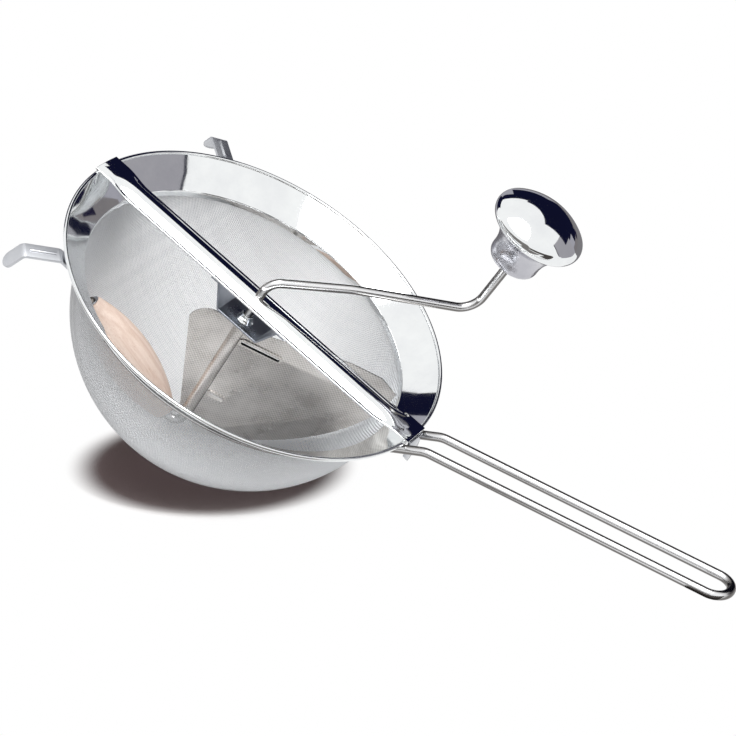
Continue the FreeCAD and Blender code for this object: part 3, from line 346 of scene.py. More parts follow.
@dataclass(frozen=True)
class RolledSheet(Finish):
    """Cold-rolled steel sheet left satin, with a faint weave of fine dots.

    Grain lines stretch along the sheet, so the gloss smears across them, and
    the dots stand in rows as on a linen-rolled sheet. The dots of a real sheet
    are finer; these are as coarse as they need to be to show.
    """

    colour: str = "#f6f2ee"
    line_colour: str = "#c6c1bc"
    tint_span: Pair = (0.30, 0.90)
    roughness: float = 0.26
    spread: float = 0.06
    gloss_span: Pair = (0.45, 0.9)
    line_share: float = 0.3
    dot_pitch: float = 1.9
    dot_share: float = 0.30
    line_width: float = 0.45
    line_length: float = 30.0
    line_height: float = 0.003
    cloud_size: float = 14.0
    azimuth: float = BLADE_AZIMUTH

    def dress(self, tree: Tree, place: Socket) -> Node:
        """Builds the satin sheet from noise stretched along the rolling.

        Args:
            tree: Node tree that the surface joins.
            place: Socket with the object's coordinates.

        Returns:
            The shader node.
        """
        turn = tuple((joint_place(Joint.CRANK, 1.0) @ turned(self.azimuth)).to_euler("XYZ"))
        grain = add_node(tree, "Mapping", {
            "Vector": place, "Rotation": turn,
            "Scale": (self.line_length * MM, self.line_width * MM, self.line_width * MM)},
            vector_type="TEXTURE")
        lines = add_node(tree, "TexNoise", {
            "Vector": grain.outputs["Vector"], "Scale": 1.0, "Detail": 4.0,
            "Roughness": 0.6}).outputs["Fac"]
        clouds = add_node(tree, "TexNoise", {
            "Vector": place, "Scale": 1 / (self.cloud_size * MM), "Detail": 3.0})
        both = add_node(tree, "Math", {
            0: lines, 1: self.line_share, 2: clouds.outputs["Fac"]},
            operation="MULTIPLY_ADD").outputs[0]
        dotted = add_node(tree, "Math", {
            0: self.dots(tree, place, turn), 1: self.dot_share, 2: both},
            operation="MULTIPLY_ADD")
        low, high = self.tint_span
        tint = fill_ramp(add_node(tree, "ValToRGB", {"Fac": dotted.outputs[0]}), {
            low: self.line_colour, high: self.colour})
        return self.surface(tree, tint, (both, *self.gloss_span),
                            (self.roughness, self.roughness + self.spread),
                            (lines, self.line_height))

    def dots(self, tree: Tree, place: Socket,
             turn: tuple[float, ...]) -> Socket:
        """Rows of dots over the sheet, from -1 to 1.

        Args:
            tree: Node tree that the dots join.
            place: Socket with the object's coordinates.
            turn: Euler angles of the sheet in the model's frame.

        Returns:
            Socket with the dots.
        """
        size = self.dot_pitch * MM / math.tau
        spread = add_node(tree, "Mapping", {
            "Vector": place, "Rotation": turn, "Scale": (size,) * 3}, vector_type="TEXTURE")
        parts = add_node(tree, "SeparateXYZ", {0: spread.outputs["Vector"]})
        columns, rows = (add_node(tree, "Math", {0: parts.outputs[axis]},
                                  operation="SINE").outputs[0] for axis in "XZ")
        return add_node(tree, "Math", {0: columns, 1: rows},
                        operation="MULTIPLY").outputs[0]


@dataclass(frozen=True)
class TurnedBeech(Finish):
    """Pale beech, turned and left bare: straight grain with short dark flecks."""

    pale: str = "#efdccf"
    dark: str = "#dcc3b3"
    fleck: str = "#c39f89"
    ring_span: Pair = (0.32, 0.62)
    fleck_span: Pair = (0.60, 0.72)
    fleck_share: float = 0.55
    gloss_span: Pair = (0.3, 0.7)
    ring_width: float = 3.2
    ring_stretch: float = 0.06
    ring_shift: Triple = (31.0, 7.0, 0.0)
    fleck_width: float = 0.35
    fleck_length: float = 3.0
    fleck_depth: float = 0.03
    smoothest: float = 0.49
    roughest: float = 0.67

    def dress(self, tree: Tree, place: Socket) -> Node:
        """Builds the wood in the roller's own frame, grain along its axis.

        Args:
            tree: Node tree that the surface joins.
            place: Socket with the object's coordinates.

        Returns:
            The shader node.
        """
        axle = joint_place(Joint.ROLLER, 1.0)
        inner = add_node(tree, "Mapping", {
            "Vector": place, "Location": tuple(axle.translation),
            "Rotation": tuple(axle.to_euler("XYZ"))}, vector_type="TEXTURE").outputs["Vector"]
        across = 1 / (self.ring_width * MM)
        rings_at = add_node(tree, "Mapping", {
            "Vector": inner, "Location": self.ring_shift,
            "Scale": (across, across, self.ring_stretch * across)})
        rings = add_node(tree, "TexNoise", {
            "Vector": rings_at.outputs["Vector"], "Scale": 1.0, "Detail": 5.0,
            "Roughness": 0.62, "Distortion": 0.6})
        across = 1 / (self.fleck_width * MM)
        flecks_at = add_node(tree, "Mapping", {
            "Vector": inner, "Scale": (across, across, 1 / (self.fleck_length * MM))})
        flecks = add_node(tree, "TexNoise", {
            "Vector": flecks_at.outputs["Vector"], "Scale": 1.0, "Detail": 2.0,
            "Roughness": 0.5}).outputs["Fac"]
        low, high = self.ring_span
        wood = fill_ramp(add_node(tree, "ValToRGB", {"Fac": rings.outputs["Fac"]}), {
            low: self.dark, high: self.pale})
        mask = add_node(tree, "MapRange", {
            "Value": flecks, "From Min": self.fleck_span[0], "From Max": self.fleck_span[1],
            "To Min": 0.0, "To Max": self.fleck_share})
        mix = add_node(tree, "Mix", {
            0: mask.outputs["Result"], MIX_FROM: wood, MIX_TO: linear(self.fleck)},
            data_type="RGBA")
        return self.surface(tree, mix.outputs[MIX_OUT], (flecks, *self.gloss_span),
                            (self.smoothest, self.roughest), (flecks, self.fleck_depth), 0.0)


# Bright chrome on buffed sheet: a near mirror of the room, with crisp edges.
CHROME = Polished("polished_chrome_plate")
# The same plate on strip that was not buffed: greyer and softer.
STRIP_CHROME = Polished("plated_strip", colour="#c4c6ca", smudge="#aeb0b6", roughness=0.16,
                        haze=0.10)
# Plate on coarse pressed strip: a pale sheen and no clear reflection.
HOOK_PLATE = Polished("plated_hook_strip", colour="#d6d8dc", smudge="#c2c4c9", roughness=0.34,
                      haze=0.10)
# A dark soft grey plate, for the axle's cap.
DULL_PLATE = Polished("dull_plated_cap", colour="#8a857f", smudge="#6f6a66", roughness=0.38,
                      haze=0.12)
# Zinc plate on strip: cooler and darker than chrome, half matt.
STIRRUP_PLATE = Polished("zinc_plated_strip", colour="#a4a8b0", smudge="#868a93",
                         roughness=0.24, haze=0.12)
# Painted shade for a slot's own wall, where little light would reach: near black.
SLOT_SHADE = Polished("shaded_slot_wall", colour="#1c1b1e", smudge="#141316", roughness=0.55,
                      haze=0.10)
# Painted shade at the foot of a rib or sleeve: a soft dark line along it.
RIB_SHADE = Polished("shaded_rib_wall", colour="#6f6b68", smudge="#5c5855", roughness=0.45,
                     haze=0.10)
# Chrome on a deep-drawn bell, buffed less: a softened lilac-grey mirror.
KNOB_SKIRT = Polished("plated_knob_skirt", colour="#c6c6cc", smudge="#b4b4bb", roughness=0.20,
                      haze=0.06)
# Painted highlight on the sheared slot walls and edges, torn half rough: near white and half
# matt.
CUT_EDGE_PAINTED_HIGHLIGHT = Polished("sheared_edge_painted_highlight", colour="#fbfaf7", smudge="#eceae6", roughness=0.30,
                    haze=0.08, metallic=0.2)
# Drawn and plated wire: a white middle between two flanks greyed by painted shade.
BRIGHT_WIRE = DrawnWire("plated_drawn_wire")
# Thin bare stainless wire: pale and soft, with a faint painted shade on its flanks, so that the
# cloth reads as one grey.
MESH_WIRE = DrawnWire("stainless_mesh_wire", colour="#f6f8fa", line_colour="#e8ebee",
                      painted_flank_shade="#dfe2e5", roughness=0.46, spread=0.10, line_size=2.0,
                      patch_size=60.0, metallic=0.6)
# Bare rolled sheet: a warm satin grey with rows of fine dots.
SATIN_SHEET = RolledSheet("satin_rolled_steel")
# Bare turned beech: pale pinkish wood, matt, with long grain and flecks.
BEECH = TurnedBeech("turned_beech")


# ---- Shaping ----
# Angles in degrees from which an edge is shaded sharp: in general, on strips and
# pressed pieces, on turned pieces, and on wires and the knob's shells.
CREASE, STRIP_CREASE, TURNED_CREASE, ROUND_CREASE = 40.0, 30.0, 50.0, 60.0
END_LIMIT = 60.0  # degrees above which the end of a wire or bar is rounded


class Shape:
    """A bmesh in millimetres that ends as one finished piece."""

    def __init__(self) -> None:
        """Starts empty."""
        self.bm = bmesh.new()

    def soften(self, offset: float, segments: int = 2, limit: float = 35.0) -> "Shape":
        """Rounds every edge that is sharper than a limit.

        Args:
            offset: Width of the rounding.
            segments: Faces across it.
            limit: Angle in degrees above which an edge is rounded.

        Returns:
            The shape itself.
        """
        sharp = [e for e in self.bm.edges
                 if e.is_manifold and e.calc_face_angle(0.0) > math.radians(limit)]
        bmesh.ops.bevel(self.bm, geom=sharp, offset=offset, segments=segments,
                        profile=0.5, affect="EDGES", material=-1, clamp_overlap=True)
        return self

    def piece(self, name: str, body: Body, finish: Finish, slot: str, nodes: list[str],
              place: Matrix = BOWL, crease: float = CREASE) -> bpy.types.Object:
        """Turns the shape into a piece of the model.

        Args:
            name: Name of the piece.
            body: Body that it moves with.
            finish: What its surface is.
            slot: The record's material slot that it belongs to; not used.
            nodes: CAD nodes that it stands for.
            place: Matrix from the shape's frame to the model's.
            crease: Angle in degrees from which an edge is shaded sharp.

        Returns:
            The new object.
        """
        bmesh.ops.remove_doubles(self.bm, verts=self.bm.verts, dist=HAIR)
        bmesh.ops.recalc_face_normals(self.bm, faces=self.bm.faces)
        self.bm.transform(place)
        for face in self.bm.faces:
            face.smooth = True
        for edge in self.bm.edges:
            edge.smooth = edge.calc_face_angle(0.0) < math.radians(crease)
        mesh = bpy.data.meshes.new(name)
        self.bm.to_mesh(mesh)
        self.bm.free()
        return enlist(bpy.data.objects.new(name, mesh), body, finish, nodes)


def enlist(item: bpy.types.Object, body: Body, finish: Finish,
           nodes: list[str]) -> bpy.types.Object:
    """Links an object, dresses it and hides the CAD nodes that it stands for.

    Args:
        item: The object, in place in the model's frame.
        body: Body that it moves with.
        finish: What its surface is.
        nodes: CAD nodes that it stands for.

    Returns:
        The same object.
    """
    bpy.context.scene.collection.objects.link(item)
    item.data.materials.clear()
    item.data.materials.append(finish.material())
    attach(item, body.value)
    if nodes:
        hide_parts(*nodes)
    LOG.info("%s: %d faces on %s", item.name, len(item.data.polygons), body.value)
    return item


def dress_node(node: str, finish: Finish) -> None:
    """Gives a CAD node that stays its finish.

    Args:
        node: Name of the CAD node.
        finish: What its surface is.
    """
    item = frame["nodes"][node]
    item.data.materials.clear()
    item.data.materials.append(finish.material())
    LOG.info("%s: CAD node, dressed", node)


class Turned(Shape):
    """A shape turned about Z from an outline drawn in the XZ plane."""

    def __init__(self, start: Pair) -> None:
        """Starts the outline.

        Args:
            start: Radius and height of its first point.
        """
        super().__init__()
        self.first = self.bm.verts.new((start[0], 0, start[1]))
        self.last = self.first

    def line_to(self, radius: float, height: float, cuts: int = 1) -> "Turned":
        """Carries the outline on in a straight line.

        Args:
            radius: Radius where the line ends.
            height: Height where it ends.
            cuts: Parts that the line is divided into.

        Returns:
            The shape itself.
        """
        step = (Vector((radius, 0, height)) - self.last.co) / cuts
        for _ in range(cuts):
            grown = bmesh.ops.extrude_vert_indiv(self.bm, verts=[self.last])
            self.last = grown["verts"][0]
            bmesh.ops.translate(self.bm, verts=[self.last], vec=step)
        return self

    def arc_to(self, radius: float, height: float, curve: float, steps: int,
               left: bool = True) -> "Turned":
        """Carries the outline on along a round curve.

        Args:
            radius: Radius where the arc ends.
            height: Height where it ends.
            curve: The arc's own radius.
            steps: Straight parts that stand for the arc.
            left: True where it bends to the left of its chord's start.

        Returns:
            The shape itself.
        """
        start, end = self.last.co.copy(), Vector((radius, 0, height))
        half = (end - start) / 2
        rise = math.sqrt(max(curve ** 2 - half.length_squared, 0.0))
        side = Vector((-half.z, 0, half.x)).normalized() * (rise if left else -rise)
        centre = start + half + side
        sweep = (start - centre).angle(end - centre)
        axis = -Y if left else Y
        turned_round = bmesh.ops.spin(
            self.bm, geom=[self.last], cent=centre, axis=axis, dvec=Vector(),
            angle=sweep, steps=steps, use_duplicate=False)
        self.last = next(g for g in turned_round["geom_last"]
                         if isinstance(g, BMVert))
        return self

    def close(self) -> "Turned":
        """Joins the outline's end to its start."""
        self.bm.edges.new((self.last, self.first))
        return self

    def turn(self, steps: int) -> "Turned":
        """Turns the outline all the way round.

        Args:
            steps: Sides of the full circle.

        Returns:
            The shape itself.
        """
        geometry = list(self.bm.verts) + list(self.bm.edges)
        bmesh.ops.spin(self.bm, geom=geometry, cent=Vector(), axis=Z, dvec=Vector(),
                       angle=math.tau, steps=steps, use_merge=True, use_duplicate=False)
        bmesh.ops.remove_doubles(self.bm, verts=self.bm.verts, dist=HAIR)
        return self


def pull(bm: BMesh, edges: list, step: Vector) -> list:
    """Extrudes edges by a step.

    Args:
        bm: The bmesh that holds them.
        edges: The edges at the end so far.
        step: How far they are carried on.

    Returns:
        The edges at the new end.
    """
    grown = bmesh.ops.extrude_edge_only(bm, edges=edges)["geom"]
    verts = [g for g in grown if isinstance(g, BMVert)]
    bmesh.ops.translate(bm, verts=verts, vec=step)
    return [g for g in grown if isinstance(g, BMEdge)
            and all(v in verts for v in g.verts)]


class Bent(Shape):
    """A wire or strip carried along a route of straight runs and bends."""

    degrees_per_step = 5
    fewest_steps = 3
    shortest_run = 1e-6

    def __init__(self, route: list[Vector], bends: list[float], width: float,
                 gauge: float | None = None, corner: float = 0.3, facets: int = 24) -> None:
        """Bends the stock along its route.

        Args:
            route: Corners of the route, its two ends included.
            bends: Bend radius at each inner corner, to the stock's middle.
            width: Diameter of a wire, or width of a strip.
            gauge: Thickness of a strip, or None for a round wire.
            corner: Radius of a strip's long edges.
            facets: Sides of a wire's section.
        """
        super().__init__()
        self.heading = (route[1] - route[0]).normalized()
        self.place = route[0].copy()
        self.draw_section(width, gauge, corner, facets)
        self.start = list(self.end)
        for before, at, after, bend in zip(route, route[1:], route[2:], bends):
            self.round_corner(before, at, after, bend)
        self.run_to(route[-1])
        for ring in (self.start, self.end):
            bmesh.ops.edgeloop_fill(self.bm, edges=[e for e in ring if e.is_valid])

    def draw_section(self, width: float, gauge: float | None, corner: float,
                     facets: int) -> None:
        """Draws the stock's outline across the start of its route.

        Args:
            width: Diameter of a wire, or width of a strip, which lies along Y.
            gauge: Thickness of a strip, or None for a round wire.
            corner: Radius of a strip's long edges.
            facets: Sides of a wire's section.
        """
        if gauge is None:
            made = bmesh.ops.create_circle(self.bm, segments=facets, radius=width / 2)
        else:
            made = bmesh.ops.create_grid(self.bm, x_segments=1, y_segments=1, size=0.5)
            bmesh.ops.scale(self.bm, verts=made["verts"], vec=(width, gauge, 1))
            bmesh.ops.bevel(self.bm, geom=made["verts"], offset=corner, segments=3,
                            profile=0.5, affect="VERTICES", material=-1)
            bmesh.ops.delete(self.bm, geom=list(self.bm.faces), context="FACES_ONLY")
        across = (Y - Y.project(self.heading)).normalized()
        turn = Matrix((across, self.heading.cross(across), self.heading)).transposed()
        bmesh.ops.transform(self.bm, verts=self.bm.verts,
                            matrix=Matrix.Translation(self.place) @ turn.to_4x4())
        self.end = list(self.bm.edges)

    def run_to(self, target: Vector) -> None:
        """Runs straight on as far as a point that lies ahead.

        Args:
            target: The point.
        """
        length = (target - self.place).dot(self.heading)
        if length < self.shortest_run:
            return
        self.end = pull(self.bm, self.end, self.heading * length)
        self.place = self.place + self.heading * length

    def round_corner(self, before: Vector, at: Vector, after: Vector, bend: float) -> None:
        """Runs up to a corner of the route and goes round it.

        Args:
            before: The route's corner before this one.
            at: The corner itself.
            after: The one after it.
            bend: Bend radius to the stock's middle.
        """
        inward, outward = (at - before).normalized(), (after - at).normalized()
        angle = inward.angle(outward)
        reach = bend * math.tan(angle / 2)
        self.run_to(at - inward * reach)
        axis = inward.cross(outward).normalized()
        centre = self.place + axis.cross(inward) * bend
        steps = max(self.fewest_steps,
                    math.ceil(math.degrees(angle) / self.degrees_per_step))
        ends = {v for e in self.end for v in e.verts}
        grown = bmesh.ops.spin(
            self.bm, geom=list(ends) + self.end, cent=centre, axis=axis, dvec=Vector(),
            angle=angle, steps=steps, use_duplicate=False)["geom_last"]
        self.end = [g for g in grown if isinstance(g, BMEdge)]
        self.place = at + outward * reach
        self.heading = outward


class NodeCopy(Shape):
    """A merged copy of a CAD node, for pressed pieces whose edges get rounded."""

    seam = 1e-3
    flat_angle = 0.5

    def __init__(self, node: str) -> None:
        """Copies the node's mesh and joins its loose triangles.

        Args:
            node: Name of the CAD node.
        """
        super().__init__()
        self.bm.from_mesh(frame["nodes"][node].data)
        self.bm.transform(Matrix.Scale(1 / MM, 4))
        bmesh.ops.remove_doubles(self.bm, verts=self.bm.verts, dist=self.seam)
        bmesh.ops.dissolve_limit(
            self.bm, angle_limit=math.radians(self.flat_angle), verts=self.bm.verts,
            edges=self.bm.edges, use_dissolve_boundaries=False)


# ---- Strainer ----
@dataclass
class WovenBowl:
    """Round bowl pressed from plain-woven stainless wire.

    The pitch is at the coarse end for such a sieve, so that the weave shows.
    """

    outer_radius: float = 94.5
    centre_drop: float = 9.5
    top_drop: float = 13.7
    pitch: float = 1.12
    wire: float = 0.42
    edge_ring: float = 1.4
    ring_gap: float = 0.1
    ring_sides: int = 180
    families: tuple[str, str] = ("warp", "weft")
    strips: int = 3

    @property
    def middle_radius(self) -> float:
        """Radius of the surface that the woven wires wind about."""
        return self.outer_radius - self.wire

    @property
    def reach(self) -> float:
        """Distance along the surface from the bowl's lowest point to its edge."""
        above = self.centre_drop - self.top_drop
        return self.middle_radius * math.acos(-above / self.middle_radius)

    def build(self) -> None:
        """Weaves the bowl and binds its edge."""
        for across, family in enumerate(self.families):
            for strip in range(self.strips):
                self.weave(f"mesh_{family}_{strip + 1}", across, strip)
        radius = self.edge_ring / 2
        inner = self.outer_radius + self.ring_gap
        level = -self.top_drop - radius
        ring = Turned((inner + self.edge_ring, level))
        ring.arc_to(inner, level, radius, steps=6)
        ring.arc_to(inner + self.edge_ring, level, radius, steps=6)
        ring.turn(self.ring_sides)
        ring.piece("bowl_edge_ring", Body.STRAINER, BRIGHT_WIRE, "plain_wire",
                   ["mesh_edge_ring"])

    def weave(self, name: str, across: int, strip: int) -> None:
        """Makes one strip of one family of parallel wires.

        Args:
            name: Name of the piece.
            across: 0 for wires that run along X, 1 for wires along Y.
            strip: Number of the strip, counted across the wires.
        """
        bm = bmesh.new()
        low = self.reach * (2 * strip / self.strips - 1)
        high = low + self.reach * 2 / self.strips
        count = 2 * math.ceil(self.reach / self.pitch)
        bmesh.ops.create_grid(bm, x_segments=count, y_segments=count,
                              size=count * self.pitch / 2)
        other = 1 - across
        crossing = [e for e in bm.edges
                    if abs(e.verts[0].co[other] - e.verts[1].co[other]) > self.pitch / 2]
        bmesh.ops.delete(bm, geom=crossing, context="EDGES_FACES")
        outside = [v for v in bm.verts if v.co.length > self.reach
                   or not low <= v.co[other] < high]
        bmesh.ops.delete(bm, geom=outside, context="VERTS")
        lonely = [v for v in bm.verts if not v.link_edges]
        bmesh.ops.delete(bm, geom=lonely, context="VERTS")
        for vert in bm.verts:
            vert.co = self.pressed(vert.co, across)
        mesh = bpy.data.meshes.new(f"{name}_lines")
        bm.to_mesh(mesh)
        bm.free()
        mesh.transform(BOWL)
        self.thicken(mesh, name)

    def pressed(self, flat: Vector, across: int) -> Vector:
        """Place on the bowl of a crossing of the flat cloth.

        Args:
            flat: The crossing in the flat cloth, before it was pressed.
            across: Family of the wire, which goes over where the other goes under.

        Returns:
            The crossing in the bowl's frame.
        """
        steps = round(flat.x / self.pitch) + round(flat.y / self.pitch) + across
        lift = self.wire / 2 * (1 if steps % 2 else -1)
        angle = flat.length / self.middle_radius
        azimuth = math.atan2(flat.y, flat.x)
        radius = self.middle_radius + lift
        return Vector((radius * math.sin(angle) * math.cos(azimuth),
                       radius * math.sin(angle) * math.sin(azimuth),
                       -self.centre_drop - radius * math.cos(angle)))

    def thicken(self, mesh: bpy.types.Mesh, name: str) -> None:
        """Gives a family's centre lines their wire's thickness.

        Args:
            mesh: The centre lines.
            name: Name of the piece.
        """
        lines = bpy.data.objects.new(f"{name}_lines", mesh)
        bpy.context.scene.collection.objects.link(lines)
        bpy.ops.object.select_all(action="DESELECT")
        lines.select_set(True)
        bpy.context.view_layer.objects.active = lines
        bpy.ops.object.convert(target="CURVE")
        lines.data.bevel_depth = self.wire / 2 * MM
        lines.data.bevel_resolution = 0
        tube = bpy.data.meshes.new_from_object(
            lines.evaluated_get(bpy.context.evaluated_depsgraph_get()))
        bpy.data.objects.remove(lines)
        tube.name = name
        tube.polygons.foreach_set("use_smooth", [True] * len(tube.polygons))
        enlist(bpy.data.objects.new(name, tube), Body.STRAINER, MESH_WIRE,
               ["mesh_bowl"])


@dataclass
class Rim:
    """Flared band whose skirt holds the mesh and whose edge is rolled."""

    radius: float = 110.0
    bead: float = 1.1
    gauge: float = 0.8
    depth: float = 13.5
    skirt: float = 3.0
    skirt_radius: float = 92.7
    fold: float = 1.6
    sides: int = 256

    def build(self) -> None:
        """Turns the band in one outline: skirt, cone and rolled edge."""
        half = self.gauge / 2
        bead_centre = Vector((self.radius - self.bead, 0))
        slope = math.atan2(self.depth, bead_centre.x - self.skirt_radius)
        along = Vector((math.cos(slope), math.sin(slope)))
        normal = Vector((-along.y, along.x))
        root = math.sqrt(self.bead ** 2 - half ** 2)
        top_end = bead_centre - along * root + normal * half
        low_end = bead_centre - along * root - normal * half
        corner = Vector((self.skirt_radius, -self.depth))
        turn = math.pi / 2 - slope
        reach = self.fold * math.tan(turn / 2)
        on_skirt = corner - Vector((0, reach))
        on_cone = corner + along * reach
        foot = -self.depth - self.skirt
        band = Turned((self.skirt_radius - half, foot))
        band.line_to(on_skirt.x - half, on_skirt.y)
        inner = on_cone + normal * half
        band.arc_to(inner.x, inner.y, self.fold + half, left=False, steps=6)
        band.line_to(top_end.x, top_end.y, cuts=2)
        for way, steps in ((normal, 4), (along, 6), (-normal, 6)):
            on_bead = bead_centre + way * self.bead
            band.arc_to(on_bead.x, on_bead.y, self.bead, left=False, steps=steps)
        band.arc_to(low_end.x, low_end.y, self.bead, left=False, steps=4)
        outer = on_cone - normal * half
        band.line_to(outer.x, outer.y, cuts=2)
        band.arc_to(on_skirt.x + half, on_skirt.y, self.fold - half, steps=6)
        band.line_to(self.skirt_radius + half, foot)
        band.close().turn(self.sides)
        band.piece("flared_rim", Body.STRAINER, CHROME, "polished_sheet", ["rim_band"],
                   crease=TURNED_CREASE)


@dataclass
class Bar:
    """Gutter strip across the mouth, arched, with its two ends pressed flat."""

    width: float = 19.0
    gauge: float = 1.2
    lip: float = 2.2
    rise: float = 3.2
    end_rise: float = 0.4
    half_length: float = 110.5
    end_length: float = 9.0
    blend: float = 16.0
    level: float = -1.25
    end_level: float = 1.15
    arch_steps: int = 16
    blend_steps: int = 12
    rounding: float = 0.3

    def build(self) -> None:
        """Extrudes the arched section along the bar and flattens its ends."""
        shape = Shape()
        bm = shape.bm
        half, root = self.width / 2, self.width / 2 - self.lip
        curve = (root ** 2 + self.rise ** 2) / (2 * self.rise)
        start = bm.verts.new((0, -root, 0))
        arch = bmesh.ops.spin(
            bm, geom=[start], cent=(0, 0, self.rise - curve), axis=-X, dvec=Vector(),
            angle=2 * math.asin(root / curve), steps=self.arch_steps,
            use_duplicate=False)["geom_last"]
        end = next(g for g in arch if isinstance(g, BMVert))
        for vert, side in ((start, -1), (end, 1)):
            lip = bmesh.ops.extrude_vert_indiv(bm, verts=[vert])["verts"][0]
            bmesh.ops.translate(bm, verts=[lip], vec=(0, side * self.lip, 0))
        edges = list(bm.edges)
        bmesh.ops.translate(bm, verts=bm.verts, vec=(-self.half_length, 0, 0))
        for station in self.stations()[1:]:
            edges = pull(bm, edges, X * (station - edges[0].verts[0].co.x))
        for vert in bm.verts:
            share = self.flatness(abs(vert.co.x))
            squeeze = 1 - share * (1 - self.end_rise / self.rise)
            lift = self.level + share * (self.end_level - self.level)
            vert.co.z = vert.co.z * squeeze + lift
        bmesh.ops.recalc_face_normals(bm, faces=bm.faces)
        if sum(f.normal.z for f in bm.faces) < 0:
            bmesh.ops.reverse_faces(bm, faces=bm.faces)
        bmesh.ops.solidify(bm, geom=list(bm.faces), thickness=-self.gauge)
        shape.soften(self.rounding, 3, limit=END_LIMIT)
        shape.piece("gutter_bar", Body.STRAINER, CHROME, "polished_sheet", ["cross_bar"],
                    crease=STRIP_CREASE)

    def stations(self) -> list[float]:
        """Places along the bar where its section is drawn.

        Returns:
            Distances along X from the bar's middle, from one end to the other.
        """
        flat = self.half_length - self.end_length
        blend = [flat - self.blend * n / self.blend_steps for n in range(self.blend_steps + 1)]
        far = blend[::-1] + [self.half_length]
        return [-s for s in far[::-1]] + [0.0] + far

    def flatness(self, along: float) -> float:
        """How far the strip is pressed flat at a place along it.

        Args:
            along: Distance from the bar's middle.

        Returns:
            Share from 0 where it is arched in full to 1 where it is flat.
        """
        flat = self.half_length - self.end_length
        share = min(max((along - flat + self.blend) / self.blend, 0.0), 1.0)
        return share * share * (3 - 2 * share)


@dataclass
class Guide:
    """Strip stirrup under the bar with a flared bush in its floor."""

    bar_level: float = Bar.level
    width: float = 18.0
    gauge: float = 1.2
    depth: float = 14.3
    floor: float = 27.0
    mouth: float = 41.0
    foot: float = 5.0
    bend: float = 1.6
    bore: float = BORE
    neck: float = 3.6
    head: float = 5.0
    head_height: float = 4.0
    lip: float = 0.8
    lip_width: float = 0.5
    seat_gap: float = 0.05
    undercut: float = 0.2
    head_curve: float = 6.4
    rounding: float = 0.12
    sides: int = 48

    def build(self) -> None:
        """Bends the stirrup and turns its bush."""
        top = self.bar_level - self.gauge / 2 - self.seat_gap
        low = top - self.depth + self.gauge / 2
        half, toe = self.mouth / 2, self.mouth / 2 + self.foot
        route = [(-toe, top), (-half, top), (-self.floor / 2, low), (self.floor / 2, low),
                 (half, top), (toe, top)]
        strip = Bent([Vector((x, 0, z)) for x, z in route], [self.bend] * 4, self.width,
                     self.gauge)
        strip.piece("bar_stirrup", Body.STRAINER, STIRRUP_PLATE, "plain_sheet",
                    ["shaft_guide"], crease=STRIP_CREASE)
        above, below = low + self.gauge / 2, low - self.gauge / 2
        crown, foot = above + self.head_height, below - self.lip
        flange = self.neck + self.lip_width
        bush = Turned((self.bore, foot))
        for radius, height in ((flange, foot), (flange, below), (self.neck, below),
                               (self.neck, above), (self.head, above)):
            bush.line_to(radius, height)
        bush.arc_to(self.neck - self.undercut, crown, self.head_curve, left=False, steps=8)
        bush.line_to(self.bore, crown).close().turn(self.sides)
        bush.soften(self.rounding).piece("shaft_bush", Body.STRAINER, CHROME,
                                         "plain_sheet", ["guide_bush"])


@dataclass
class Handle:
    """Wire loop handle with a gusset between its legs."""

    gauge: float = WIRE
    half_width: float = 9.5
    root: Pair = (98.0, -12.9)
    knee: Pair = (120.7, 5.1)
    slope: float = 18.0
    reach: float = 283.2
    knee_bend: float = 16.0
    end_rounding: float = 0.5
    gusset_rounding: float = 0.35
    rim_gap: float = 0.1

    def build(self) -> None:
        """Bends one wire into the whole loop and dresses the gusset."""
        root_z = self.root_height()
        tip_z = self.knee[1] + (self.reach - self.knee[0]) * math.tan(math.radians(self.slope))
        far = self.half_width
        route = [Vector((self.root[0], -far, root_z)), Vector((self.knee[0], -far, self.knee[1])),
                 Vector((self.reach, -far, tip_z)), Vector((self.reach, far, tip_z)),
                 Vector((self.knee[0], far, self.knee[1])), Vector((self.root[0], far, root_z))]
        bends = [self.knee_bend, far - HAIR, far - HAIR, self.knee_bend]
        wire = Bent(route, bends, self.gauge)
        wire.soften(self.end_rounding, 3, limit=END_LIMIT)
        wire.piece("handle_wire", Body.STRAINER, BRIGHT_WIRE, "polished_wire",
                   ["handle_loop"], crease=ROUND_CREASE)
        gusset = NodeCopy("handle_bracket").soften(self.gusset_rounding, 3)
        gusset.piece("handle_gusset", Body.STRAINER, STRIP_CHROME, "plain_sheet",
                     ["handle_bracket"], place=METRES)

    def root_height(self) -> float:
        """Height at which the legs start, just clear of the flare's underside.

        Returns:
            Height of the wire's middle there.
        """
        rim = Rim()
        slope = math.atan2(rim.depth, rim.radius - rim.bead - rim.skirt_radius)
        gap = (self.gauge + rim.gauge) / 2 + self.rim_gap
        return (self.root[0] - rim.skirt_radius) * math.tan(slope) - rim.depth \
            - gap / math.cos(slope)


@dataclass
class Hooks:
    """Two pressed strip hooks that hang the strainer on a pot."""

    rounding: float = 0.25

    def build(self) -> None:
        """Rounds the edges of each hook's pressed strip."""
        for node in ("hook_left", "hook_right"):
            hook = NodeCopy(node).soften(self.rounding, 3)
            hook.piece(f"{node}_strip", Body.STRAINER, HOOK_PLATE, "plain_sheet", [node],
                       place=METRES, crease=STRIP_CREASE)


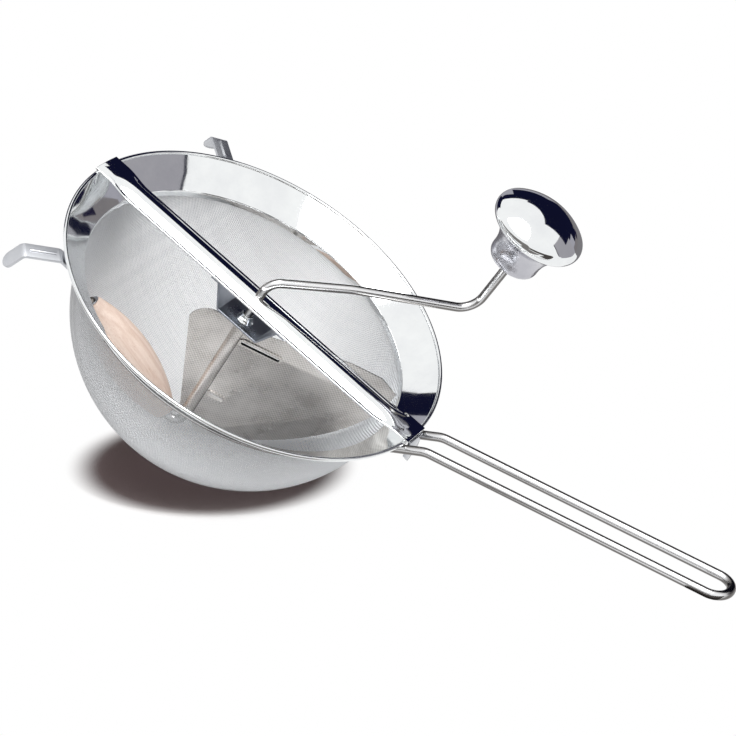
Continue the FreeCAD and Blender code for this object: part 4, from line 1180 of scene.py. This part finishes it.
# ---- Crank, blade, roller and knob ----
@dataclass
class Crank:
    """The bent wire from the knob's riser to the roller's axle, with its rings."""

    gauge: float = WIRE
    azimuth: float = 45.0
    start: float = 13.4
    kink: Pair = (46.0, 22.3)
    elbow: Pair = (116.4, 28.4)
    lean: float = 3.1
    knob_height: float = 37.2
    spindle: float = 28.0
    bends: Quad = (12.0, 60.0, 9.0, 5.0)
    axle_azimuth: float = 200.0
    axle_slope: float = 32.0
    axle_corner: float = 102.891
    axle_end: float = 89.689
    end_rounding: float = 0.5
    ring_rounding: float = 0.12
    rings: tuple[str, ...] = ("thrust_washer", "roller_washer_inner",
                              "roller_washer_outer", "axle_cap", "knob_stop_ring",
                              "knob_retainer")

    def route(self) -> list[Vector]:
        """Carries the wire from the end of the riser to the end of the axle.

        Returns:
            Its corners and its two ends, in order.
        """
        upper, lower = turned(self.azimuth), turned(self.axle_azimuth)
        height = self.knob_height + self.spindle
        top = (self.elbow[0] + height * math.tan(math.radians(self.lean)),
               self.elbow[1] + height)
        above = [upper @ Vector((r, 0, z)) for r, z in
                 (top, self.elbow, self.kink, (0.0, self.start))]
        slope = math.radians(self.axle_slope)
        end = lower @ Vector((self.axle_end * math.cos(slope), 0,
                              self.axle_end * math.sin(slope) - self.axle_corner))
        return above + [Vector((0, 0, -self.axle_corner)), end]

    def build(self) -> None:
        """Bends the wire and rounds the rings that sit on it."""
        wire = Bent(self.route(), list(self.bends), self.gauge)
        wire.soften(self.end_rounding, 3, limit=END_LIMIT)
        wire.piece("crank_rod", Body.CRANK, BRIGHT_WIRE, "polished_wire", ["crank_wire"],
                   crease=ROUND_CREASE)
        for node in self.rings:
            ring = NodeCopy(node).soften(self.ring_rounding)
            finish = DULL_PLATE if node == "axle_cap" else STRIP_CHROME
            ring.piece(f"{node}_ring", Body.CRANK, finish, "plain_sheet", [node],
                       place=METRES, crease=STRIP_CREASE)


class BladeFinish(Enum):
    """What the blade's faces are finished as by number: sheet, painted slot shade, painted
    highlight, painted rib shade.
    """

    SHEET = SATIN_SHEET
    SLOT_WALL = SLOT_SHADE
    EDGE = CUT_EDGE_PAINTED_HIGHLIGHT
    SHADED = RIB_SHADE


@dataclass
class Blade:
    """Scraper blade pressed from one sheet.

    Faces are sorted in the blade's own frame, X along the sheet and Y across
    it, by where they lie and which way they face, and some get painted shade
    or a painted highlight. A slot is its height, where it ends, and whether its
    walls get painted shade, near black, rather than a painted highlight.
    """

    rounding: float = 0.2
    azimuth: float = BLADE_AZIMUTH
    start: float = 2.0
    slot_half: float = 1.3
    wall_half: float = 1.0
    rib_half: float = 3.1
    # Span across the sleeve where its flank faces get a painted dark line of shade.
    flank: Pair = (2.9, 3.5)
    # Per slot, True gives its walls painted shade; its other faces, and all of an unshaded
    # slot's, get a painted highlight.
    slots: tuple[tuple[float, float, bool], ...] = ((-29.4, 29.5, True), (-70.95, 15.5, False))
    facing: float = 0.9
    sheared_limit: float = 40.0
    edge_on: float = 0.1
    sideways: float = 0.8
    downward: float = -0.3

    def build(self) -> None:
        """Rounds the blade's sheared edges and paints shade and highlights on its slots, ribs and
        sleeve.
        """
        shape = NodeCopy("scraper_blade").soften(self.rounding, limit=self.sheared_limit)
        blade = shape.piece("blade_sheet", Body.CRANK, SATIN_SHEET, "blade_sheet",
                            ["scraper_blade"], place=METRES, crease=STRIP_CREASE)
        numbers = {finish: number for number, finish in enumerate(BladeFinish)}
        for finish in list(BladeFinish)[1:]:
            blade.data.materials.append(finish.value.material())
        flat = (BOWL @ turned(self.azimuth)).inverted()
        for face in blade.data.polygons:
            normal = (flat.to_3x3() @ face.normal).normalized()
            face.material_index = numbers[self.finish_of(flat @ face.center, normal)]

    def finish_of(self, centre: Vector, normal: Vector) -> BladeFinish:
        """Finish of a face.

        Args:
            centre: Its centre in the blade's own frame.
            normal: Its normal there.

        Returns:
            The finish: shaded under a rib and where the sleeve leaves the sheet.
        """
        near, far = self.flank
        # Painted shade: a dark line along the sleeve's flank where it leaves the sheet.
        if near < centre.x < far and centre.y < 0 and normal.x > self.sideways:
            return BladeFinish.SHADED
        # Painted shade on a shaded slot's walls and under each rib, a painted highlight on the
        # rest of each slot.
        for level, end, shaded in self.slots:
            off = centre.z - level
            if not self.start < centre.x < end or abs(normal.y) > self.facing:
                continue
            if abs(off) < self.slot_half:
                wall = abs(off) < self.wall_half and abs(normal.y) < self.edge_on
                return BladeFinish.SLOT_WALL if wall and shaded else BladeFinish.EDGE
            if -self.rib_half < off < 0 and normal.z < self.downward:
                return BladeFinish.SHADED
        return BladeFinish.SHEET


@dataclass
class Roller:
    """Turned wooden roller whose barrel follows the bowl."""

    radius: float = 13.8
    length: float = 76.0
    curve: float = 93.0
    bore: float = BORE
    end_round: float = 1.8
    end_curve: float = 1.98
    sides: int = 96

    def build(self) -> None:
        """Turns the barrel with rounded ends and its bore."""
        half = self.length / 2
        drop = self.curve - self.radius
        end = math.sqrt(self.curve ** 2 - half ** 2) - drop
        roller = Turned((self.bore, -half))
        roller.line_to(end - self.end_round, -half, cuts=2)
        inset = half - self.end_round
        side = math.sqrt(self.curve ** 2 - inset ** 2) - drop
        roller.arc_to(side, -inset, self.end_curve, steps=6)
        roller.arc_to(side, inset, self.curve, steps=40)
        roller.arc_to(end - self.end_round, half, self.end_curve, steps=6)
        roller.line_to(self.bore, half, cuts=2).close().turn(self.sides)
        roller.piece("beech_roller", Body.ROLLER, BEECH, "pale_wood", ["wooden_roller"],
                     place=joint_place(Joint.ROLLER), crease=TURNED_CREASE)


@dataclass
class Knob:
    """Polished sheet-metal knob: a domed cap rolled over a bell-shaped skirt."""

    height: float = 41.3
    cap_radius: float = 26.4
    rim_height: float = 28.3
    rim_round: float = 5.0
    undercut: float = 60.0
    gauge: float = 0.8
    base: float = 14.3
    base_round: float = 5.0
    waist: float = 6.5
    flare: Pair = (23.6, 23.62)
    bore: float = 4.05
    sides: int = 192

    def build(self) -> None:
        """Turns the two shells and dresses what is inside them."""
        place = joint_place(Joint.KNOB)
        self.cap().piece("knob_dome", Body.KNOB, CHROME, "polished_sheet", ["knob_cap"],
                         place=place, crease=ROUND_CREASE)
        self.skirt().piece("knob_bell", Body.KNOB, KNOB_SKIRT, "polished_sheet",
                           ["knob_skirt"], place=place, crease=ROUND_CREASE)
        for node in ("knob_bush", "knob_inner_plate"):
            dress_node(node, STRIP_CHROME)

    def cap(self) -> Turned:
        """Turns the domed shell with its rim rolled inwards.

        Returns:
            The shell in the knob's own frame.
        """
        reach, level, rim = self.cap_radius - self.rim_round, self.rim_height, self.rim_round
        top = self.height
        centre = ((top - rim) ** 2 - reach ** 2 - level ** 2) / (2 * (top - rim - level))
        dome = top - centre
        share = dome / (dome - rim)
        meet = Vector((reach * share, centre + (level - centre) * share))
        under = math.radians(self.undercut)
        edge = Vector((math.cos(under), -math.sin(under)))
        rim_centre = Vector((reach, level))
        inner_rim, inner_dome = rim - self.gauge, dome - self.gauge
        inner_meet = Vector((0, centre)) + (meet - Vector((0, centre))) * (inner_dome / dome)
        low, inner_low = rim_centre + edge * rim, rim_centre + edge * inner_rim
        cap = Turned((0, top))
        cap.arc_to(meet.x, meet.y, dome, left=False, steps=24)
        cap.arc_to(low.x, low.y, rim, left=False, steps=20)
        cap.line_to(inner_low.x, inner_low.y)
        cap.arc_to(inner_meet.x, inner_meet.y, inner_rim, steps=12)
        cap.arc_to(0, top - self.gauge, inner_dome, steps=16)
        cap.turn(self.sides)
        return cap

    def skirt(self) -> Turned:
        """Turns the bell-shaped shell, rounded at its base and flared to the cap.

        Returns:
            The shell in the knob's own frame.
        """
        gauge, base, round_ = self.gauge, self.base, self.base_round
        run, rise = self.flare[0] - base, self.flare[1] - self.waist
        curve = (run ** 2 + rise ** 2) / (2 * run)
        centre = Vector((base + curve, self.waist))
        top = Vector(self.flare)
        inner_top = centre + (top - centre) * ((curve + gauge) / curve)
        skirt = Turned((self.bore, 0))
        skirt.line_to(base - round_, 0, cuts=2)
        skirt.arc_to(base, round_, round_, steps=12)
        skirt.line_to(base, self.waist)
        skirt.arc_to(top.x, top.y, curve, left=False, steps=24)
        skirt.line_to(inner_top.x, inner_top.y)
        skirt.arc_to(base - gauge, self.waist, curve + gauge, steps=16)
        skirt.line_to(base - gauge, round_)
        skirt.arc_to(base - round_, gauge, round_ - gauge, left=False, steps=8)
        skirt.line_to(self.bore, gauge)
        skirt.close().turn(self.sides)
        return skirt


# ---- Studio ----
NAVY = "#10122a"
LILAC = "#a3a2ab"
MID_GREY = "#a3a1a7"
WARM_GREY = "#7d7a78"
DARK_GREY = "#4c4846"


def standing(elevation: float, distance: float = 1.6, mouth: float = 0.10) -> Pair:
    """Radius and height of a screen's edge seen at an elevation from the bowl's mouth."""
    return distance, mouth + distance * math.tan(math.radians(elevation))


@dataclass(frozen=True)
class Screen:
    """Coloured card that goes round part of the object and that only metal sees.

    Its azimuths are degrees round the bowl, its foot and head each a radius and
    a height in metres.
    """

    name: str
    colour: str
    azimuths: Pair
    foot: Pair
    head: Pair
    steps: int = 48

    def shape(self, centre: Vector) -> BMesh:
        """Spins the card's upright edge round the bowl.

        Args:
            centre: Middle of the spin on the floor.

        Returns:
            The card in metres.
        """
        bm = bmesh.new()
        foot, head = (bm.verts.new((radius, 0, height))
                      for radius, height in (self.foot, self.head))
        edge = bm.edges.new((foot, head))
        first, last = (math.radians(azimuth) for azimuth in self.azimuths)
        bmesh.ops.rotate(bm, verts=bm.verts, cent=Vector(),
                         matrix=Matrix.Rotation(first, 3, "Z"))
        bmesh.ops.spin(bm, geom=[foot, head, edge], cent=Vector(), axis=Z, dvec=Vector(),
                       angle=last - first, steps=self.steps, use_duplicate=False)
        bmesh.ops.translate(bm, verts=bm.verts, vec=centre)
        return bm


@dataclass
class Studio:
    """Pale floor, soft overhead light, screens for the chrome, camera; in metres."""

    origin: Triple = (-0.0871, 0.0, 0.0)
    camera_at: Triple = (0.5714, -1.0637, 0.6499)
    azimuth: float = 29.11
    elevation: float = 25.154
    lens: float = 127.17
    sensor: float = 36.0
    floor_size: float = 12.0
    floor_colour: str = "#f4f4f4"
    floor_gain: float = 2.2
    fade_centre: Pair = (-0.1155, -0.0044)
    fade_half: Pair = (0.060, 0.050)
    fade_width: float = 1.36
    key_power: float = 9.0
    key_size: float = 0.8
    key_at: Triple = (0.16, -0.26, 0.95)
    world_strength: float = 0.45
    world_colour: str = "#fdf3ee"
    white: str = "#ffffff"
    screens: tuple[Screen, ...] = (
        Screen("dark_side_screen", NAVY, (37, 50), standing(12), standing(47)),
        Screen("dark_screen", NAVY, (50, 95), standing(9), standing(47)),
        Screen("dark_far_screen", NAVY, (95, 165), standing(9), standing(43)),
        Screen("dark_low_screen", NAVY, (60, 95), standing(1), standing(9)),
        Screen("grey_screen", LILAC, (95, 165), standing(-4), standing(9)),
        Screen("grey_side_screen", LILAC, (50, 60), standing(-4), standing(9)),
        Screen("side_screen", MID_GREY, (17, 37), standing(-4), standing(24)),
        Screen("side_low_screen", MID_GREY, (37, 50), standing(-4), standing(12)),
        Screen("side_edge", "#15172b", (15.7, 17), standing(4), standing(24)),
        Screen("left_low_screen", "#7d797b", (52, 135), standing(-4, 1.58), standing(1, 1.58)),
        Screen("left_oval", "#1a1832", (69, 77), standing(-2.5, 1.56), standing(1, 1.56)),
        Screen("left_mat", "#7f7d80", (52, 150), (0.22, 0.001), (1.58, 0.001)),
        Screen("left_notch", "#14162a", (96, 105), (0.75, 0.002), (0.95, 0.002)),
        Screen("lilac_patch", LILAC, (112, 129.5), standing(9, 1.5), standing(30, 1.5)),
        Screen("front_screen", WARM_GREY, (-165, -60), standing(-4), standing(14)),
        Screen("front_mat", WARM_GREY, (-165, -60), (0.42, 0.001), (1.6, 0.001)),
        Screen("handle_mat", WARM_GREY, (-80, -26), (0.13, 0.002), (0.42, 0.002)),
        Screen("right_screen", DARK_GREY, (-60, -2), standing(-4), standing(3)),
        Screen("right_mat", DARK_GREY, (-60, -20), (0.55, 0.001), (1.6, 0.001)),
        Screen("arm_mat", DARK_GREY, (-20, -2), (0.25, 0.001), (1.6, 0.001)),
    )
    contact: Pair = (-0.0921, 0.0)
    gel_centre: Pair = (-0.0234, -0.0044)
    gel_half: Pair = (0.080, 0.060)
    gel_height: float = 0.005
    gel_colour: str = "#453b3c"
    gel_radius: float = 0.0951
    gel_gap: float = 0.0008
    gel_lift: float = 0.0004
    gel_cuts: int = 60

    def build(self) -> None:
        """Sets up floor, world, lamp, gel, screens and camera."""
        self.lay_floor()
        self.light_world()
        self.hang_key()
        self.lay_gel()
        self.stand_screens()
        self.place_camera()
        bpy.context.scene.view_settings.view_transform = "Standard"

    def show(self, name: str, bm: BMesh, material: Material,
             unseen_by: tuple[str, ...] = ()) -> None:
        """Makes a stage piece.

        Args:
            name: Name of the object.
            bm: Its shape in metres.
            material: What it is made of.
            unseen_by: Kinds of ray that pass it by.
        """
        mesh = bpy.data.meshes.new(name)
        bm.to_mesh(mesh)
        bm.free()
        mesh.materials.append(material)
        item = bpy.data.objects.new(name, mesh)
        bpy.context.scene.collection.objects.link(item)
        for ray in unseen_by:
            setattr(item, f"visible_{ray}", False)

    def lay_floor(self) -> None:
        """Lays a matt pale floor that fades to white away from the bowl.

        Round the bowl the floor keeps the shadow. Further out, camera and
        metal see plain white, and the light on the object stays as it was.
        """
        material = bpy.data.materials.new("matt_pale_floor")
        tree = fresh_tree(material)
        path = add_node(tree, "LightPath")
        mirrored = add_node(tree, "Math", {
            0: path.outputs["Is Glossy Ray"], 1: path.outputs["Is Transmission Ray"]},
            operation="MAXIMUM")
        seen = add_node(tree, "Math", {
            0: mirrored.outputs[0], 1: path.outputs["Is Camera Ray"]}, operation="MAXIMUM")
        spot = add_node(tree, "Mapping", {
            "Vector": add_node(tree, "TexCoord").outputs["Object"],
            "Location": (*self.fade_centre, 0), "Scale": (*self.fade_half, 1),
            "Rotation": (0, 0, math.radians(self.azimuth))}, vector_type="TEXTURE")
        away = add_node(tree, "VectorMath", {0: spot.outputs["Vector"]},
                        operation="LENGTH")
        fade = add_node(tree, "MapRange", {
            "Value": away.outputs["Value"], "From Min": 1.0, "From Max": self.fade_width},
            interpolation_type="SMOOTHSTEP")
        white = add_node(tree, "Math", {
            0: fade.outputs["Result"], 1: seen.outputs[0]}, operation="MULTIPLY")
        plain = linear(self.floor_colour)
        bright = tuple(c * self.floor_gain for c in plain[:3]) + (1.0,)
        colour = add_node(tree, "Mix", {
            0: path.outputs["Is Camera Ray"], MIX_FROM: plain, MIX_TO: bright}, data_type="RGBA")
        matt = add_node(tree, "BsdfDiffuse", {"Color": colour.outputs[MIX_OUT]})
        glow = add_node(tree, "Emission", {"Color": linear(self.white)})
        shader = add_node(tree, "MixShader", {
            0: white.outputs[0], 1: matt.outputs[0], 2: glow.outputs[0]})
        add_node(tree, "OutputMaterial", {"Surface": shader.outputs[0]})
        bm = bmesh.new()
        bmesh.ops.create_grid(bm, x_segments=1, y_segments=1, size=self.floor_size / 2)
        self.show("floor", bm, material)

    def light_world(self) -> None:
        """Fills the room with even light that looks white to camera and metal."""
        world = bpy.data.worlds.new("white_room")
        bpy.context.scene.world = world
        tree = fresh_tree(world)
        path = add_node(tree, "LightPath")
        seen = add_node(tree, "Math", {
            0: path.outputs["Is Camera Ray"], 1: path.outputs["Is Glossy Ray"]},
            operation="MAXIMUM")
        through = add_node(tree, "Math", {
            0: seen.outputs[0], 1: path.outputs["Is Transmission Ray"]}, operation="MAXIMUM")
        strength = add_node(tree, "MapRange", {
            "Value": through.outputs[0], "To Min": self.world_strength, "To Max": 1.0})
        colour = add_node(tree, "Mix", {
            0: through.outputs[0], MIX_FROM: linear(self.world_colour),
            MIX_TO: linear(self.white)}, data_type="RGBA")
        sky = add_node(tree, "Background", {
            "Color": colour.outputs[MIX_OUT], "Strength": strength.outputs["Result"]})
        add_node(tree, "OutputWorld", {"Surface": sky.outputs[0]})

    def hang_key(self) -> None:
        """Hangs one large soft box over the bowl."""
        lamp = bpy.data.lights.new("soft_box", "AREA")
        lamp.shape = "DISK"
        lamp.size = self.key_size
        lamp.energy = self.key_power
        item = bpy.data.objects.new("soft_box", lamp)
        place, target = Vector(self.key_at), Vector(self.origin)
        item.matrix_world = (Matrix.Translation(place)
                             @ (target - place).to_track_quat("-Z", "Y").to_matrix().to_4x4())
        bpy.context.scene.collection.objects.link(item)

    def lay_gel(self) -> None:
        """Lays a dark gel close under the bowl, for the deep core of its shadow.

        It hugs the bowl where that stands and lies level beyond, an ellipse
        across the line of sight. Light passes through it, and nothing sees it.
        """
        material = bpy.data.materials.new("shadow_gel")
        tree = fresh_tree(material)
        shader = add_node(tree, "BsdfTransparent", {"Color": linear(self.gel_colour)})
        add_node(tree, "OutputMaterial", {"Surface": shader.outputs[0]})
        bm = bmesh.new()
        made = bmesh.ops.create_grid(bm, x_segments=self.gel_cuts, y_segments=self.gel_cuts,
                                     size=1.0)
        for vert in made["verts"]:
            vert.co = self.on_gel(vert.co)
        self.show("shadow_gel", bm, material, ("camera", "glossy", "transmission"))

    def on_gel(self, share: Vector) -> Vector:
        """Place on the gel of a point of a flat square.

        Args:
            share: The point, in a square that reaches from -1 to 1.

        Returns:
            Its place in metres.
        """
        x, y = share.x, share.y
        disc = Vector((x * math.sqrt(1 - y * y / 2) * self.gel_half[0],
                       y * math.sqrt(1 - x * x / 2) * self.gel_half[1], 0))
        turn = Matrix.Rotation(math.radians(self.azimuth), 3, "Z")
        point = turn @ disc + Vector((*self.gel_centre, 0))
        rise = self.gel_radius - math.sqrt(max(self.gel_radius ** 2 - point.length_squared, 0.0))
        point.z = min(max(rise - self.gel_gap, 0.0), self.gel_height)
        return point + Vector((*self.contact, self.gel_lift))

    def stand_screens(self) -> None:
        """Stands and lays curved screens round the object that only the metal sees."""
        for card in self.screens:
            material = bpy.data.materials.new(card.name)
            tree = fresh_tree(material)
            shader = add_node(tree, "Emission", {
                "Color": linear(card.colour), "Strength": 1.0})
            add_node(tree, "OutputMaterial", {"Surface": shader.outputs[0]})
            self.show(card.name, card.shape(Vector(self.origin)), material,
                      ("camera", "diffuse", "shadow", "transmission"))

    def place_camera(self) -> None:
        """Sets the camera at its viewing angle."""
        camera = bpy.data.cameras.new("camera")
        camera.lens = self.lens
        camera.sensor_width = self.sensor
        camera.sensor_fit = "HORIZONTAL"
        item = bpy.data.objects.new("camera", camera)
        item.location = self.camera_at
        item.rotation_euler = Euler((math.radians(90 - self.elevation), 0,
                                     math.radians(self.azimuth)))
        bpy.context.scene.collection.objects.link(item)
        bpy.context.scene.camera = item


@dataclass
class Strainer:
    """The whole object: its sub-assemblies in the order in which they go together."""

    parts: list = field(default_factory=lambda: [
        WovenBowl(), Rim(), Bar(), Guide(), Handle(), Hooks(),
        Crank(), Blade(), Roller(), Knob(),
    ])

    def build(self) -> None:
        """Builds every sub-assembly."""
        for part in self.parts:
            LOG.info("building %s", type(part).__name__)
            part.build()


def main() -> None:
    """Builds the object and the studio round it."""
    logging.basicConfig(level=logging.INFO, format="%(name)s: %(message)s")
    Strainer().build()
    Studio().build()


if __name__ == "__main__":
    main()
